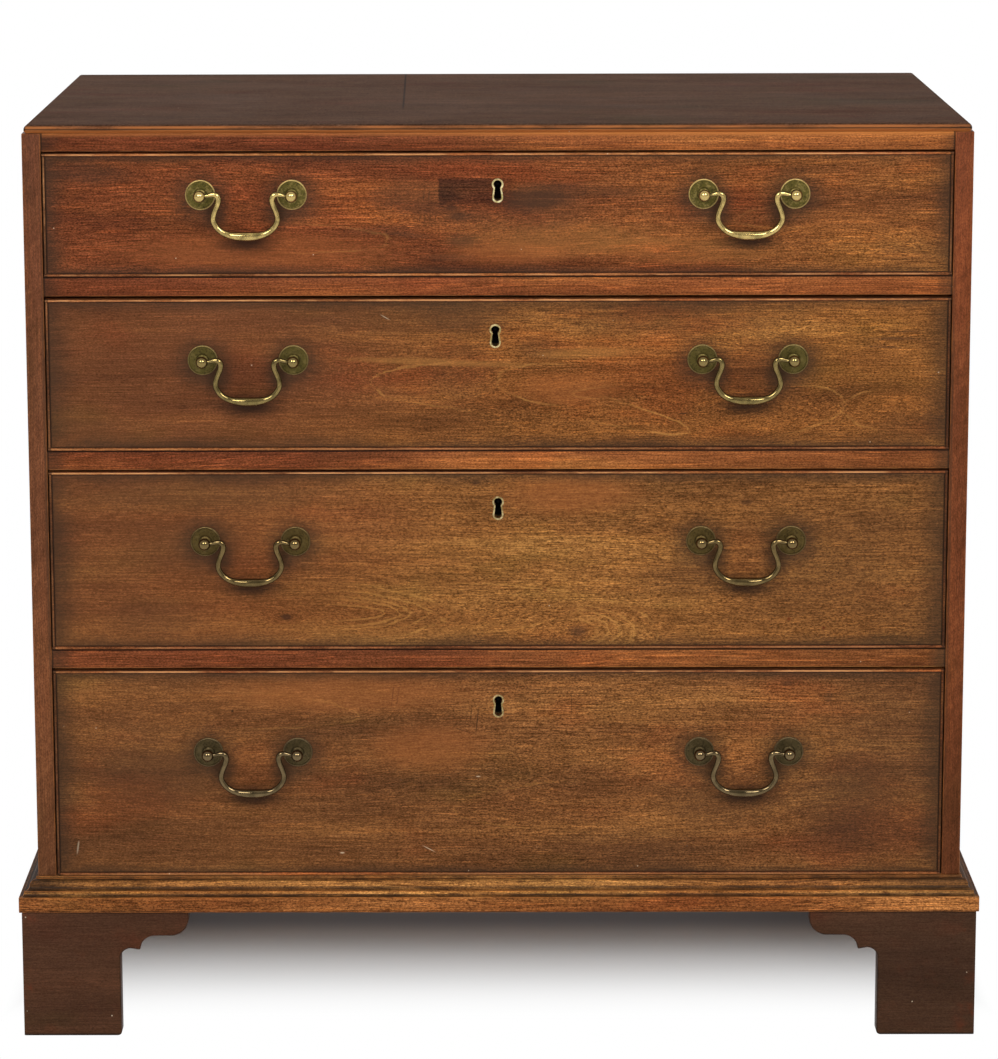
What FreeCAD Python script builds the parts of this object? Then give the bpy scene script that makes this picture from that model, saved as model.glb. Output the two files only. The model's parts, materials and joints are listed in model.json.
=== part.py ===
import FreeCAD, Part
import math
import os
import types

import Sketcher
from FreeCAD import Rotation, Vector

# A mahogany chest of four long drawers, graduated in height, with a straight front.
#
# Frame: millimetres, X to the right, +Z up, the drawers open towards -Y.
# The origin is on the floor, under the middle of the whole chest, handles included.
# Inside this file a depth is counted from the carcase's front plane towards the back,
# and put() moves every piece from that plane to the frame.

CARCASE = {
    "carcase_width": 914,
    "carcase_depth": 520,
    "foot_rise": 128,
    "moulding_rise": 33,
    "panel_thickness": 18,
    "housing_depth": 6,
    "housing_stop": 10,
    "top_rail_rise": 17.5,
    "top_rail_depth": 20,
    "divider_rise": 19,
    "divider_depth": 65,
    "runner_width": 40,
    "dustboard_thickness": 8,
    "dustboard_tongue": 5,
    "bottom_thickness": 20,
    "frame_strip_width": 60,
    "back_thickness": 12,
    "back_rebate": 9,
    "back_plank_gap": 1,
    "top_setback": 2,
    "top_quirk": 1.2,
    "top_quirk_rise": 1.6,
    "top_thickness": 8,
    "top_rounding": 4.5,
    "stop_width": 40,
    "stop_depth": 28,
    "stop_rise": 5,
    "stop_spread": 300,
}
BASE = {
    "moulding_projection": 18,
    "top_fillet_step": 2,
    "top_fillet_rise": 2.4,
    "ovolo_radius": 5.4,
    "cove_radius": 4.6,
    "lower_fillet_rise": 1.6,
    "lower_fillet_step": 0.6,
    "lower_cove_radius": 3.4,
    "foot_setback": 2.5,
    "foot_thickness": 20,
    "foot_heel": 97,
    "foot_shoulder_rise": 80,
    "foot_shoulder_radius": 10.3,
    "foot_lip": 9.5,
    "foot_lip_fall": 1.6,
    "foot_cove_radius": 14.5,
    "foot_flat": 16,
    "foot_ovolo_radius": 18,
    "foot_toe_rounding": 4,
    "back_bracket_reach": 122,
    "back_bracket_heel": 62,
    "back_bracket_drop": 38,
    "back_bracket_inset": 2,
    "corner_block": 32,
    "corner_block_lift": 4,
    "cleat_length": 72,
    "rear_cleat_length": 42,
    "cleat_width": 20,
}
DRAWERS = {
    "opening_1": 121.5,
    "opening_2": 152,
    "opening_3": 179.5,
    "opening_4": 211.5,
    "top_gap_1": 1.6,
    "top_gap_2": 2.6,
    "top_gap_3": 1.6,
    "top_gap_4": 2,
    "tails_1": 3,
    "tails_2": 4,
    "tails_3": 4,
    "tails_4": 5,
    "side_gap": 1.2,
    "running_gap": 0.3,
    "drawer_length": 495,
    "front_thickness": 20,
    "bead_thickness": 3,
    "bead_depth": 10,
    "bead_stand": 2,
    "side_thickness": 10,
    "side_drop": 5,
    "drawer_back_thickness": 10,
    "drawer_back_drop": 6,
    "floor_lift": 8,
    "floor_thickness": 7,
    "floor_groove": 4,
    "floor_front_groove": 6,
    "tail_root_share": 0.62,
    "tail_end_share": 0.8,
}
HARDWARE = {
    "handle_x": 242,
    "handle_spacing": 88,
    "handle_drop_1": 42,
    "handle_drop_2": 62.5,
    "handle_drop_3": 71,
    "handle_drop_4": 85,
    "post_stand": 15,
    "knob_radius": 6,
    "stem_radius": 3.4,
    "shank_radius": 2.5,
    "shank_tail": 8,
    "rose_radius": 14.6,
    "rose_thickness": 1.6,
    "rose_rim": 0.8,
    "rose_boss_radius": 5.4,
    "rose_boss_thickness": 1.6,
    "nut_width": 10,
    "nut_thickness": 3,
    "fitting_clearance": 0.1,
    "pin_radius": 1.6,
    "pin_clearance": 0.08,
    "pin_inset": 2.2,
    "pin_end": 2.6,
    "neck_start": 7,
    "bail_radius": 2.3,
    "bail_drop": 38.5,
    "neck_reach": 18.5,
    "waist_reach": 11.2,
    "waist_drop": 20,
    "foot_reach": 18.5,
    "neck_bend": 4,
    "waist_bend": 14,
    "foot_bend": 20,
    "grip_radius": 4.3,
    "grip_half_length": 18,
    "grip_end_radius": 1.2,
    "keyhole_head": 5.6,
    "keyhole_neck": 4.1,
    "keyhole_drop": 12.5,
    "keyhole_foot": 5.3,
    "keyhole_line": 1.6,
    "escutcheon_depth": 3,
    "escutcheon_stand": 0.3,
    "lock_centre_drop": 30.9,
    "lock_width": 64,
    "lock_rise": 50,
    "lock_plate": 2,
    "lock_cavity_radius": 9,
    "lock_pin_radius": 1.3,
    "lock_pin_front": 4,
    "bolt_width": 24,
    "bolt_thickness": 4,
    "bolt_rise": 27.7,
    "bolt_sink": 0.3,
    "bolt_clearance": 0.3,
    "mortice_rise": 8.5,
    "overcut": 1,
    "lock_offset_1": 0,
    "lock_offset_2": -2.5,
    "lock_offset_3": 0,
    "lock_offset_4": 0,
}

DRAWER_NUMBERS = (1, 2, 3, 4)
BACK_PLANKS = 5
SAME_PLACE = 1e-6
HALF_TURN = 180
MIDDLE = 0.5
ARC_CENTRE = 3
LEFT_TO_RIGHT = Vector(1, 0, 0)
FRONT_TO_BACK = Vector(0, 1, 0)
ALONG_DEPTH = Rotation(Vector(0, 0, 1), FRONT_TO_BACK)
ALONG_WIDTH = Rotation(Vector(0, 0, 1), LEFT_TO_RIGHT)
FACING_FRONT = Rotation(LEFT_TO_RIGHT, 90)

doc = FreeCAD.newDocument("chest_of_drawers")
nodes = {}


class Size:
    """A length that knows its number and the sheet expression that it comes from."""

    def __init__(self, number, text):
        self.number = number
        self.text = text

    def joined(self, sign, other, number):
        return Size(number, f"({self.text} {sign} {other.text})")

    def __add__(self, other):
        other = as_size(other)
        return self.joined("+", other, self.number + other.number)

    def __sub__(self, other):
        other = as_size(other)
        return self.joined("-", other, self.number - other.number)

    def __mul__(self, other):
        other = as_size(other)
        return self.joined("*", other, self.number * other.number)

    def __truediv__(self, other):
        other = as_size(other)
        return self.joined("/", other, self.number / other.number)

    def __radd__(self, other):
        return as_size(other) + self

    def __rsub__(self, other):
        return as_size(other) - self

    def __rmul__(self, other):
        return as_size(other) * self

    def __neg__(self):
        return Size(-self.number, f"(0 - {self.text})")


def as_size(value):
    if isinstance(value, Size):
        return value
    return Size(value, f"({value:.9f})")


def by_number(size):
    return size.number


def fill_sheet():
    """Writes every driving dimension to the sheet and returns them as sizes."""
    sheet = doc.addObject("Spreadsheet::Sheet", "Sizes")
    row = 0
    for table in (CARCASE, BASE, DRAWERS, HARDWARE):
        for alias, number in table.items():
            row += 1
            sheet.set(f"A{row}", alias.replace("_", " "))
            sheet.set(f"B{row}", str(number))
            sheet.setAlias(f"B{row}", alias)
    doc.recompute()
    found = {}
    for table in (CARCASE, BASE, DRAWERS, HARDWARE):
        for alias in table:
            found[alias] = Size(float(sheet.get(alias)), "Sizes." + alias)
    return types.SimpleNamespace(**found)


dim = fill_sheet()

# Sizes that are worked out from the driving ones.
half_width = dim.carcase_width / 2
inner_half = half_width - dim.panel_thickness
front_plane = (dim.post_stand + dim.knob_radius - dim.carcase_depth) / 2
carcase_floor = dim.foot_rise + dim.moulding_rise
board_bottom = carcase_floor - dim.bottom_thickness
back_face = dim.carcase_depth - dim.back_thickness
foot_face = half_width + dim.moulding_projection - dim.foot_setback
foot_front = dim.foot_setback - dim.moulding_projection
lap = dim.front_thickness - dim.bead_depth


def per_drawer(word, number):
    return getattr(dim, f"{word}_{number}")


def opening_floor(number):
    """Height of the surface that a drawer runs on, drawer 4 being the lowest."""
    floor = carcase_floor
    for lower in DRAWER_NUMBERS[number:]:
        floor = floor + per_drawer("opening", lower) + dim.divider_rise
    return floor


carcase_top = opening_floor(1) + dim.opening_1 + dim.top_rail_rise


# Ways of making a piece.

def bind(piece, **sizes):
    for prop, size in sizes.items():
        piece.setExpression(prop, as_size(size).text)


def put(piece, x, y, z, turn=Rotation()):
    """Places a piece: y is counted back from the carcase's front plane."""
    piece.Placement = FreeCAD.Placement(Vector(), turn)
    piece.setExpression("Placement.Base.x", as_size(x).text)
    piece.setExpression("Placement.Base.y", (as_size(y) + front_plane).text)
    piece.setExpression("Placement.Base.z", as_size(z).text)
    return piece


def board(name, across, back, up):
    """A rectangular board from three spans, each a pair of lowest and highest value."""
    piece = doc.addObject("Part::Box", name)
    spans = [(as_size(low), as_size(high)) for low, high in (across, back, up)]
    lengths = [high - low for low, high in spans]
    bind(piece, Length=lengths[0], Width=lengths[1], Height=lengths[2])
    return put(piece, spans[0][0], spans[1][0], spans[2][0])


def rod(name, radius, length, x, y, z, turn=ALONG_DEPTH):
    piece = doc.addObject("Part::Cylinder", name)
    bind(piece, Radius=radius, Height=length)
    return put(piece, x, y, z, turn)


def ball(name, radius, x, y, z):
    piece = doc.addObject("Part::Sphere", name)
    bind(piece, Radius=radius)
    return put(piece, x, y, z)


def ring(name, radius, wire, x, y, z):
    piece = doc.addObject("Part::Torus", name)
    bind(piece, Radius1=radius, Radius2=wire)
    return put(piece, x, y, z, ALONG_DEPTH)


def fuse(name, *pieces):
    whole = doc.addObject("Part::MultiFuse", name)
    whole.Shapes = list(pieces)
    whole.Refine = True
    return whole


def cut(name, piece, *tools):
    tool = tools[0]
    if len(tools) > 1:
        tool = fuse(name + "_waste", *tools)
    rest = doc.addObject("Part::Cut", name)
    rest.Base = piece
    rest.Tool = tool
    return rest


def group(name, *pieces):
    """Separate solids that share one node."""
    whole = doc.addObject("Part::Compound", name)
    whole.Links = list(pieces)
    return whole


def mirrored(name, source, normal=LEFT_TO_RIGHT, x=0, y=None):
    piece = doc.addObject("Part::Mirroring", name)
    piece.Source = source
    piece.Normal = normal
    piece.setExpression("Base.x", as_size(x).text)
    if y is not None:
        piece.setExpression("Base.y", (as_size(y) + front_plane).text)
    return piece


def as_node(piece, label):
    piece.Label = label
    nodes[label] = piece
    return piece


# Outlines in sketches.

class Arc:
    """A round stretch of an outline about a centre, from one angle to another in degrees."""

    def __init__(self, centre, radius, start, end):
        self.centre = centre
        self.radius = as_size(radius)
        self.start = start
        self.end = end

    def at(self, angle):
        turn = math.radians(angle)
        across = self.centre[0] + self.radius * math.cos(turn)
        up = self.centre[1] + self.radius * math.sin(turn)
        return across, up


def flat(point):
    return Vector(as_size(point[0]).number, as_size(point[1]).number, 0)


def outline_edges(outline):
    """Edges round a closed outline of corners and arcs, as (edge, end point, arc)."""
    edges = []
    last = outline[-1].at(outline[-1].end) if isinstance(outline[-1], Arc) else outline[-1]
    for item in outline:
        is_arc = isinstance(item, Arc)
        start = item.at(item.start) if is_arc else item
        if flat(last).distanceToPoint(flat(start)) > SAME_PLACE:
            edges.append((Part.LineSegment(flat(last), flat(start)), start, None))
        last = start
        if is_arc:
            middle = item.at((item.start + item.end) / 2)
            last = item.at(item.end)
            edges.append((Part.Arc(flat(start), flat(middle), flat(last)), last, item))
    return edges


def bind_distance(sketch, kind, axis, edge, end, size):
    """Ties one coordinate of an edge's end to the sheet, or to the axis where it is zero."""
    if abs(size.number) < SAME_PLACE:
        sketch.addConstraint(Sketcher.Constraint("PointOnObject", edge, end, axis))
        return
    made = sketch.addConstraint(Sketcher.Constraint(kind, -1, 1, edge, end, size.number))
    sketch.setExpression(f"Constraints[{made}]", size.text)


def bind_arc(sketch, edge, arc):
    """Ties an arc's radius, or the height of its centre where it is half a circle."""
    if abs(abs(arc.end - arc.start) - HALF_TURN) < SAME_PLACE:
        bind_distance(sketch, "DistanceY", -1, edge, ARC_CENTRE, as_size(arc.centre[1]))
        return
    made = sketch.addConstraint(Sketcher.Constraint("Radius", edge, arc.radius.number))
    sketch.setExpression(f"Constraints[{made}]", arc.radius.text)


def nearer_end(sketch, edge, point):
    return min((1, 2), key=lambda end: sketch.getPoint(edge, end).distanceToPoint(flat(point)))


def trace(sketch, outline):
    """Draws an outline and ties each corner and each arc to the sheet."""
    edges = outline_edges(outline)
    sketch.addGeometry([edge for edge, point, arc in edges], False)
    for number, (edge, point, arc) in enumerate(edges):
        end = nearer_end(sketch, number, point)
        following = (number + 1) % len(edges)
        start = nearer_end(sketch, following, point)
        sketch.addConstraint(Sketcher.Constraint("Coincident", number, end, following, start))
        bind_distance(sketch, "DistanceX", -2, number, end, as_size(point[0]))
        bind_distance(sketch, "DistanceY", -1, number, end, as_size(point[1]))
        if arc is not None:
            bind_arc(sketch, number, arc)


def rectangle(across, up):
    return [(across[0], up[0]), (across[1], up[0]), (across[1], up[1]), (across[0], up[1])]


def body_sketch(body, name, plane, outline, offset=None):
    """A sketch on one of the body's own origin planes, or parallel to it."""
    sketch = body.newObject("Sketcher::SketchObject", name)
    found = [feature for feature in body.Origin.OriginFeatures if feature.Role == plane]
    sketch.AttachmentSupport = [(found[0], "")]
    sketch.MapMode = "FlatFace"
    if offset is not None:
        sketch.setExpression("AttachmentOffset.Base.z", as_size(offset).text)
    trace(sketch, outline)
    return sketch


def padded_body(name, plane, outline, length, midplane=False, reverse=False):
    body = doc.addObject("PartDesign::Body", name)
    pad = body.newObject("PartDesign::Pad", name + "_pad")
    pad.Profile = body_sketch(body, name + "_outline", plane, outline)
    pad.Midplane = midplane
    pad.Reversed = reverse
    bind(pad, Length=length)
    body.Tip = pad
    return body


def pocketed(body, name, plane, outline, depth=None, offset=None):
    """Takes an outline out of the body, to a depth or right through."""
    pocket = body.newObject("PartDesign::Pocket", name)
    pocket.Profile = body_sketch(body, name + "_outline", plane, outline, offset)
    if depth is None:
        pocket.Type = "ThroughAll"
        pocket.Midplane = True
    else:
        bind(pocket, Length=depth)
    body.Tip = pocket
    return body


# Carcase.

def side_panel():
    """Left side, with housings for the dividers, top and bottom, and a rebate for the back."""
    rise = carcase_top - board_bottom
    panel = padded_body("side_panel", "YZ_Plane", rectangle((0, dim.carcase_depth), (0, rise)),
                        dim.panel_thickness)
    levels = [(0, dim.bottom_thickness), (rise - dim.top_rail_rise, rise)]
    for number in DRAWER_NUMBERS[:-1]:
        top = opening_floor(number) - board_bottom
        levels.append((top - dim.divider_rise, top))
    for count, level in enumerate(levels):
        stretch = rectangle((dim.housing_stop, back_face), level)
        pocketed(panel, f"housing_{count}", "YZ_Plane", stretch, dim.housing_depth, dim.panel_thickness)
    rebate = rectangle((back_face, dim.carcase_depth), (0, rise))
    pocketed(panel, "back_rebate_pocket", "YZ_Plane", rebate, dim.back_rebate, dim.panel_thickness)
    return put(panel, -half_width, 0, board_bottom)


def rail(name, depth, low, high):
    """A rail between the sides, its ends let into stopped housings."""
    shown = board(name + "_shown", (-inner_half, inner_half), (0, depth), (low, high))
    reach = inner_half + dim.housing_depth
    housed = board(name + "_housed", (-reach, reach), (dim.housing_stop, depth), (low, high))
    return fuse(name + "_blank", shown, housed)


def bolt_mortice(number):
    """The slot above a drawer front that its lock bolt rises into."""
    half = dim.bolt_width / 2 + dim.bolt_clearance * 2
    centre = per_drawer("lock_offset", number)
    middle = lock_middle()
    reach = dim.bolt_thickness / 2 + dim.bolt_clearance * 2
    top = opening_floor(number) + per_drawer("opening", number)
    return board(f"bolt_mortice_{number}", (centre - half, centre + half),
                 (middle - reach, middle + reach), (top, top + dim.mortice_rise))


def lock_middle():
    """Depth of the bolt's centre plane behind the drawer's face."""
    return (dim.bead_depth + dim.front_thickness) / 2


def top_board():
    """The thin top: a quirk against the carcase, then a rounded edge on three sides."""
    top = carcase_top + dim.top_thickness
    quirk_top = carcase_top + dim.top_quirk_rise
    half = half_width - dim.top_setback
    inner = half - dim.top_quirk
    lower = board("top_quirk_layer", (-inner, inner), (dim.top_setback + dim.top_quirk, dim.carcase_depth),
                  (carcase_top, quirk_top))
    upper = board("top_upper_layer", (-half, half), (dim.top_setback, dim.carcase_depth), (quirk_top, top))
    doc.recompute()
    rounded = doc.addObject("Part::Fillet", "top_rounded_layer")
    rounded.Base = upper
    front = upper.Shape.BoundBox.YMin
    back = upper.Shape.BoundBox.YMax
    chosen = []
    for number, edge in enumerate(upper.Shape.Edges, 1):
        middle = edge.CenterOfMass
        on_top = abs(middle.z - top.number) < SAME_PLACE
        if on_top and middle.y < back - SAME_PLACE and (middle.y < front + SAME_PLACE or middle.x != 0):
            chosen.append((number, dim.top_rounding.number, dim.top_rounding.number))
    rounded.Edges = chosen
    return fuse("top_whole", lower, rounded)


def dustboard(number):
    """Thin panel behind the divider under a drawer, tongued into it and the two runners."""
    top = opening_floor(number) - (dim.divider_rise - dim.dustboard_thickness) / 2
    half = inner_half + dim.housing_depth - dim.runner_width + dim.dustboard_tongue
    start = dim.divider_depth - dim.dustboard_tongue
    levels = (top - dim.dustboard_thickness, top)
    return board(f"dustboard_{number}", (-half, half), (start, back_face), levels)


def make_carcase():
    left = as_node(side_panel(), "side_panel_left")
    as_node(mirrored("side_panel_copy", left), "side_panel_right")
    as_node(top_board(), "top_board")

    rail_floor = carcase_top - dim.top_rail_rise
    top_rail = rail("top_rail", dim.top_rail_depth, rail_floor, carcase_top)
    as_node(cut("top_rail_cut", top_rail, bolt_mortice(1)), "top_front_rail")
    reach = inner_half + dim.housing_depth
    as_node(board("sub_top_board", (-reach, reach), (dim.top_rail_depth, back_face),
                  (rail_floor, carcase_top)), "sub_top")

    dividers = []
    dustboards = []
    runners = []
    for number in DRAWER_NUMBERS[:-1]:
        top = opening_floor(number)
        floor = top - dim.divider_rise
        panel = dustboard(number)
        dustboards.append(panel)
        blank = rail(f"divider_{number}", dim.divider_depth, floor, top)
        dividers.append(cut(f"divider_{number}_cut", blank, panel, bolt_mortice(number + 1)))
        strip = board(f"runner_{number}_blank", (-reach, -reach + dim.runner_width),
                      (dim.divider_depth, back_face), (floor, top))
        runner = cut(f"runner_{number}_left", strip, panel)
        runners.append(runner)
        runners.append(mirrored(f"runner_{number}_right", runner))
    as_node(group("dividers", *dividers), "drawer_dividers")
    as_node(group("dustboard_group", *dustboards), "dustboards")
    as_node(group("runner_group", *runners), "drawer_runners")

    as_node(rail("bottom", back_face, board_bottom, carcase_floor), "bottom_board")

    planks = []
    span = (half_width - dim.panel_thickness + dim.back_rebate) * 2
    pitch = (span + dim.back_plank_gap) / BACK_PLANKS
    for count in range(BACK_PLANKS):
        start = pitch * count - span / 2
        planks.append(board(f"back_plank_{count}", (start, start + pitch - dim.back_plank_gap),
                            (back_face, dim.carcase_depth), (board_bottom, carcase_top)))
    as_node(group("back_planks", *planks), "back_boards")

    stops = []
    for number in DRAWER_NUMBERS:
        floor = opening_floor(number)
        start = dim.front_thickness + dim.running_gap
        left_stop = board(f"stop_{number}_left",
                          (-dim.stop_spread, -dim.stop_spread + dim.stop_width),
                          (start, start + dim.stop_depth), (floor, floor + dim.stop_rise))
        stops.append(left_stop)
        stops.append(mirrored(f"stop_{number}_right", left_stop))
    as_node(group("stop_group", *stops), "drawer_stops")


# Base.

def moulding_profile():
    """Section of the base moulding: (outwards from the carcase, up from its lower edge)."""
    top = dim.moulding_rise
    ovolo_height = top - dim.top_fillet_rise - dim.ovolo_radius
    ovolo_centre = (dim.top_fillet_step + dim.lower_fillet_step, ovolo_height)
    cove_centre = (ovolo_centre[0] + dim.ovolo_radius + dim.cove_radius, ovolo_centre[1])
    fillet_face = cove_centre[0] + dim.lower_fillet_step
    fillet_top = cove_centre[1] - dim.cove_radius
    fillet_foot = fillet_top - dim.lower_fillet_rise
    low_centre = (fillet_face + dim.lower_cove_radius, fillet_foot)
    return [
        (0, 0),
        (dim.moulding_projection, 0),
        (dim.moulding_projection, fillet_foot - dim.lower_cove_radius),
        Arc(low_centre, dim.lower_cove_radius, 270, 180),
        (fillet_face, fillet_top),
        Arc(cove_centre, dim.cove_radius, 270, 180),
        Arc(ovolo_centre, dim.ovolo_radius, 0, 90),
        (dim.top_fillet_step, top - dim.top_fillet_rise),
        (dim.top_fillet_step, top),
        (0, top),
    ]


def make_mouldings():
    """The front length and the two returns, mitred at the front corners."""
    out = dim.moulding_projection
    outwards = [turned_out(item) for item in moulding_profile()]
    front = padded_body("front_moulding", "YZ_Plane", outwards, dim.carcase_width + out * 2, midplane=True)
    for side in (-1, 1):
        corner = [(half_width * side, 0), ((half_width + out) * side, 0), ((half_width + out) * side, -out)]
        pocketed(front, "front_mitre_left" if side < 0 else "front_mitre_right", "XY_Plane", corner)
    as_node(put(front, 0, 0, dim.foot_rise), "base_moulding_front")

    left = padded_body("side_moulding", "XZ_Plane", outwards, dim.carcase_depth + out, reverse=True)
    pocketed(left, "side_mitre", "XY_Plane", [(-out, 0), (0, 0), (0, out)])
    as_node(put(left, -half_width, -out, dim.foot_rise), "base_moulding_left")
    as_node(mirrored("side_moulding_copy", left), "base_moulding_right")


def turned_out(item):
    """The same point or arc of an outline with its first coordinate negated."""
    if isinstance(item, Arc):
        centre = (-as_size(item.centre[0]), item.centre[1])
        return Arc(centre, item.radius, HALF_TURN - item.start, HALF_TURN - item.end)
    return (-as_size(item[0]), item[1])


def bracket_outline():
    """Shaped bracket seen from outside: straight heel, small cove, lip, cove, ovolo."""
    heel = dim.foot_heel
    shoulder = (heel + dim.foot_shoulder_radius, dim.foot_shoulder_rise)
    lip_end = (shoulder[0] + dim.foot_lip, shoulder[1] + dim.foot_shoulder_radius - dim.foot_lip_fall)
    cove = (lip_end[0] + dim.foot_cove_radius, lip_end[1])
    flat_end = cove[0] + dim.foot_flat
    ovolo = (flat_end, cove[1] + dim.foot_cove_radius + dim.foot_ovolo_radius)
    return [
        (0, 0),
        Arc((heel - dim.foot_toe_rounding, dim.foot_toe_rounding), dim.foot_toe_rounding, -90, 0),
        Arc(shoulder, dim.foot_shoulder_radius, 180, 90),
        Arc(cove, dim.foot_cove_radius, 180, 90),
        Arc(ovolo, dim.foot_ovolo_radius, -90, 0),
        (flat_end + dim.foot_ovolo_radius, dim.foot_rise),
        (0, dim.foot_rise),
    ]


def shaped_bracket(name, mitred):
    """A bracket running right from its outer corner, its face on the front plane of the foot."""
    bracket = padded_body(name, "XZ_Plane", bracket_outline(), dim.foot_thickness, reverse=True)
    if mitred:
        edge = dim.foot_thickness
        pocketed(bracket, name + "_mitre", "XY_Plane", [(0, 0), (edge, edge), (0, edge)])
    return put(bracket, -foot_face, foot_front, 0)


def make_feet():
    across_corner = Vector(1, -1, 0)
    front_bracket = shaped_bracket("front_bracket", mitred=True)
    side_bracket = mirrored("side_bracket", front_bracket, across_corner, -foot_face, foot_front)
    front_left = as_node(group("front_left_pair", front_bracket, side_bracket), "foot_front_left")
    as_node(mirrored("front_left_copy", front_left), "foot_front_right")

    square_bracket = shaped_bracket("square_bracket", mitred=False)
    forward_side = mirrored("forward_side_bracket", square_bracket, across_corner, -foot_face, foot_front)
    middle = (dim.carcase_depth + foot_front) / 2
    rear_side = mirrored("rear_side_bracket", forward_side, FRONT_TO_BACK, 0, middle)
    plain = [
        (0, 0),
        (dim.back_bracket_heel, 0),
        (dim.back_bracket_reach, dim.foot_rise - dim.back_bracket_drop),
        (dim.back_bracket_reach, dim.foot_rise),
        (0, dim.foot_rise),
    ]
    rear = padded_body("rear_bracket", "XZ_Plane", plain, dim.foot_thickness)
    put(rear, dim.foot_thickness - foot_face, dim.carcase_depth - dim.back_bracket_inset, 0)
    back_left = as_node(group("back_left_pair", rear_side, rear), "foot_back_left")
    as_node(mirrored("back_left_copy", back_left), "foot_back_right")


def make_base_frame():
    """Strips under the bottom board that the mouldings and feet are glued to."""
    levels = (dim.foot_rise, board_bottom)
    strip = dim.frame_strip_width
    front = board("frame_front", (-half_width, half_width), (0, strip), levels)
    inner_back = dim.carcase_depth - strip
    rear = board("frame_rear", (-half_width, half_width), (inner_back, dim.carcase_depth), levels)
    left = board("frame_left", (-half_width, strip - half_width), (strip, inner_back), levels)
    as_node(group("frame_strips", front, rear, left, mirrored("frame_right", left)), "base_frame")


def make_glue_blocks():
    """A corner block in each foot, and a cleat behind the top of each bracket."""
    inner = foot_face - dim.foot_thickness
    block = dim.corner_block
    cleat_levels = (dim.foot_rise - dim.cleat_width, dim.foot_rise)
    front_start = foot_front + dim.foot_thickness
    rear_start = dim.carcase_depth - dim.back_bracket_inset - dim.foot_thickness
    blocks = []
    ends = (("front", front_start, 1, dim.cleat_length), ("rear", rear_start, -1, dim.rear_cleat_length))
    for place, start, away, across in ends:
        along = sorted((start, start + block * away), key=by_number)
        blocks.append(board(f"corner_block_{place}", (-inner, block - inner), along,
                            (dim.corner_block_lift, dim.foot_rise)))
        deep = sorted((start, start + dim.cleat_width * away), key=by_number)
        width = (block - inner, block + across - inner)
        blocks.append(board(f"cleat_across_{place}", width, deep, cleat_levels))
        first = start + block * away
        last = first + dim.cleat_length * away
        long = sorted((first, last), key=by_number)
        blocks.append(board(f"cleat_along_{place}", (-inner, dim.cleat_width - inner), long, cleat_levels))
    blocks += [mirrored(piece.Name + "_right", piece) for piece in blocks]
    as_node(group("glue_block_group", *blocks), "glue_blocks")


# Drawers.

def tail(name, outer, inner, start, end, centre, half_start, half_end):
    """One dovetail tail, flat on the drawer side, between two depths."""
    piece = doc.addObject("Part::Wedge", name)
    low, high = sorted((as_size(outer), as_size(inner)), key=by_number)
    bind(piece, Xmin=low, Xmax=high, X2min=low, X2max=high, Ymin=start, Ymax=end)
    bind(piece, Zmin=centre - half_start, Zmax=centre + half_start)
    bind(piece, Z2min=centre - half_end, Z2max=centre + half_end)
    return put(piece, 0, 0, 0)


class Drawer:
    """Places that the pieces of one drawer share."""

    def __init__(self, number):
        self.number = number
        self.name = f"drawer_{number}"
        self.floor = opening_floor(number) + dim.running_gap
        self.top = opening_floor(number) + per_drawer("opening", number) - per_drawer("top_gap", number)
        self.half = inner_half - dim.side_gap
        self.side_top = self.top - dim.side_drop
        self.panel_top = self.floor + dim.floor_lift + dim.floor_thickness
        self.back_top = self.side_top - dim.drawer_back_drop
        self.back_start = dim.drawer_length - dim.drawer_back_thickness
        self.lock_x = per_drawer("lock_offset", number)
        self.handle_z = self.top + per_drawer("top_gap", number) - per_drawer("handle_drop", number)

    def tails(self, side):
        """Tails of one side: lapped into the front, and right through the back."""
        root = dim.tail_root_share / 2
        end = dim.tail_end_share / 2
        outer = self.half * side
        inner = (self.half - dim.side_thickness) * side
        count = int(per_drawer("tails", self.number).number)
        front_pitch = (self.side_top - self.floor) / count
        back_pitch = (self.back_top - self.panel_top) / count
        front = []
        back = []
        word = "left" if side < 0 else "right"
        for turn in range(count):
            place = turn + MIDDLE
            front.append(tail(f"{self.name}_{word}_front_tail_{turn}", outer, inner, lap,
                              dim.front_thickness, self.floor + front_pitch * place,
                              front_pitch * end, front_pitch * root))
            back.append(tail(f"{self.name}_{word}_back_tail_{turn}", outer, inner, self.back_start,
                             dim.drawer_length, self.panel_top + back_pitch * place,
                             back_pitch * root, back_pitch * end))
        return front, back


def keyhole_outline(margin):
    """Round head, neck and wider round foot, drawn in by a margin; the head's centre is the origin."""
    head = dim.keyhole_head - margin
    neck = dim.keyhole_neck - margin
    foot = dim.keyhole_foot - margin
    lean = math.degrees(math.acos(neck.number / head.number))
    return [
        Arc((0, 0), head, -lean, 180 + lean),
        Arc((0, -dim.keyhole_drop), foot, 180, 360),
    ]


def keyhole_plug(drawer, name, margin, start, end):
    """The keyhole's outline as a solid between two depths."""
    sketch = doc.addObject("Sketcher::SketchObject", name + "_outline")
    trace(sketch, keyhole_outline(margin))
    put(sketch, drawer.lock_x, start, drawer.top - dim.lock_centre_drop, FACING_FRONT)
    plug = doc.addObject("Part::Extrusion", name)
    plug.Base = sketch
    plug.DirMode = "Custom"
    plug.Dir = FRONT_TO_BACK
    plug.Solid = True
    bind(plug, LengthFwd=as_size(end) - start)
    return plug


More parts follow.
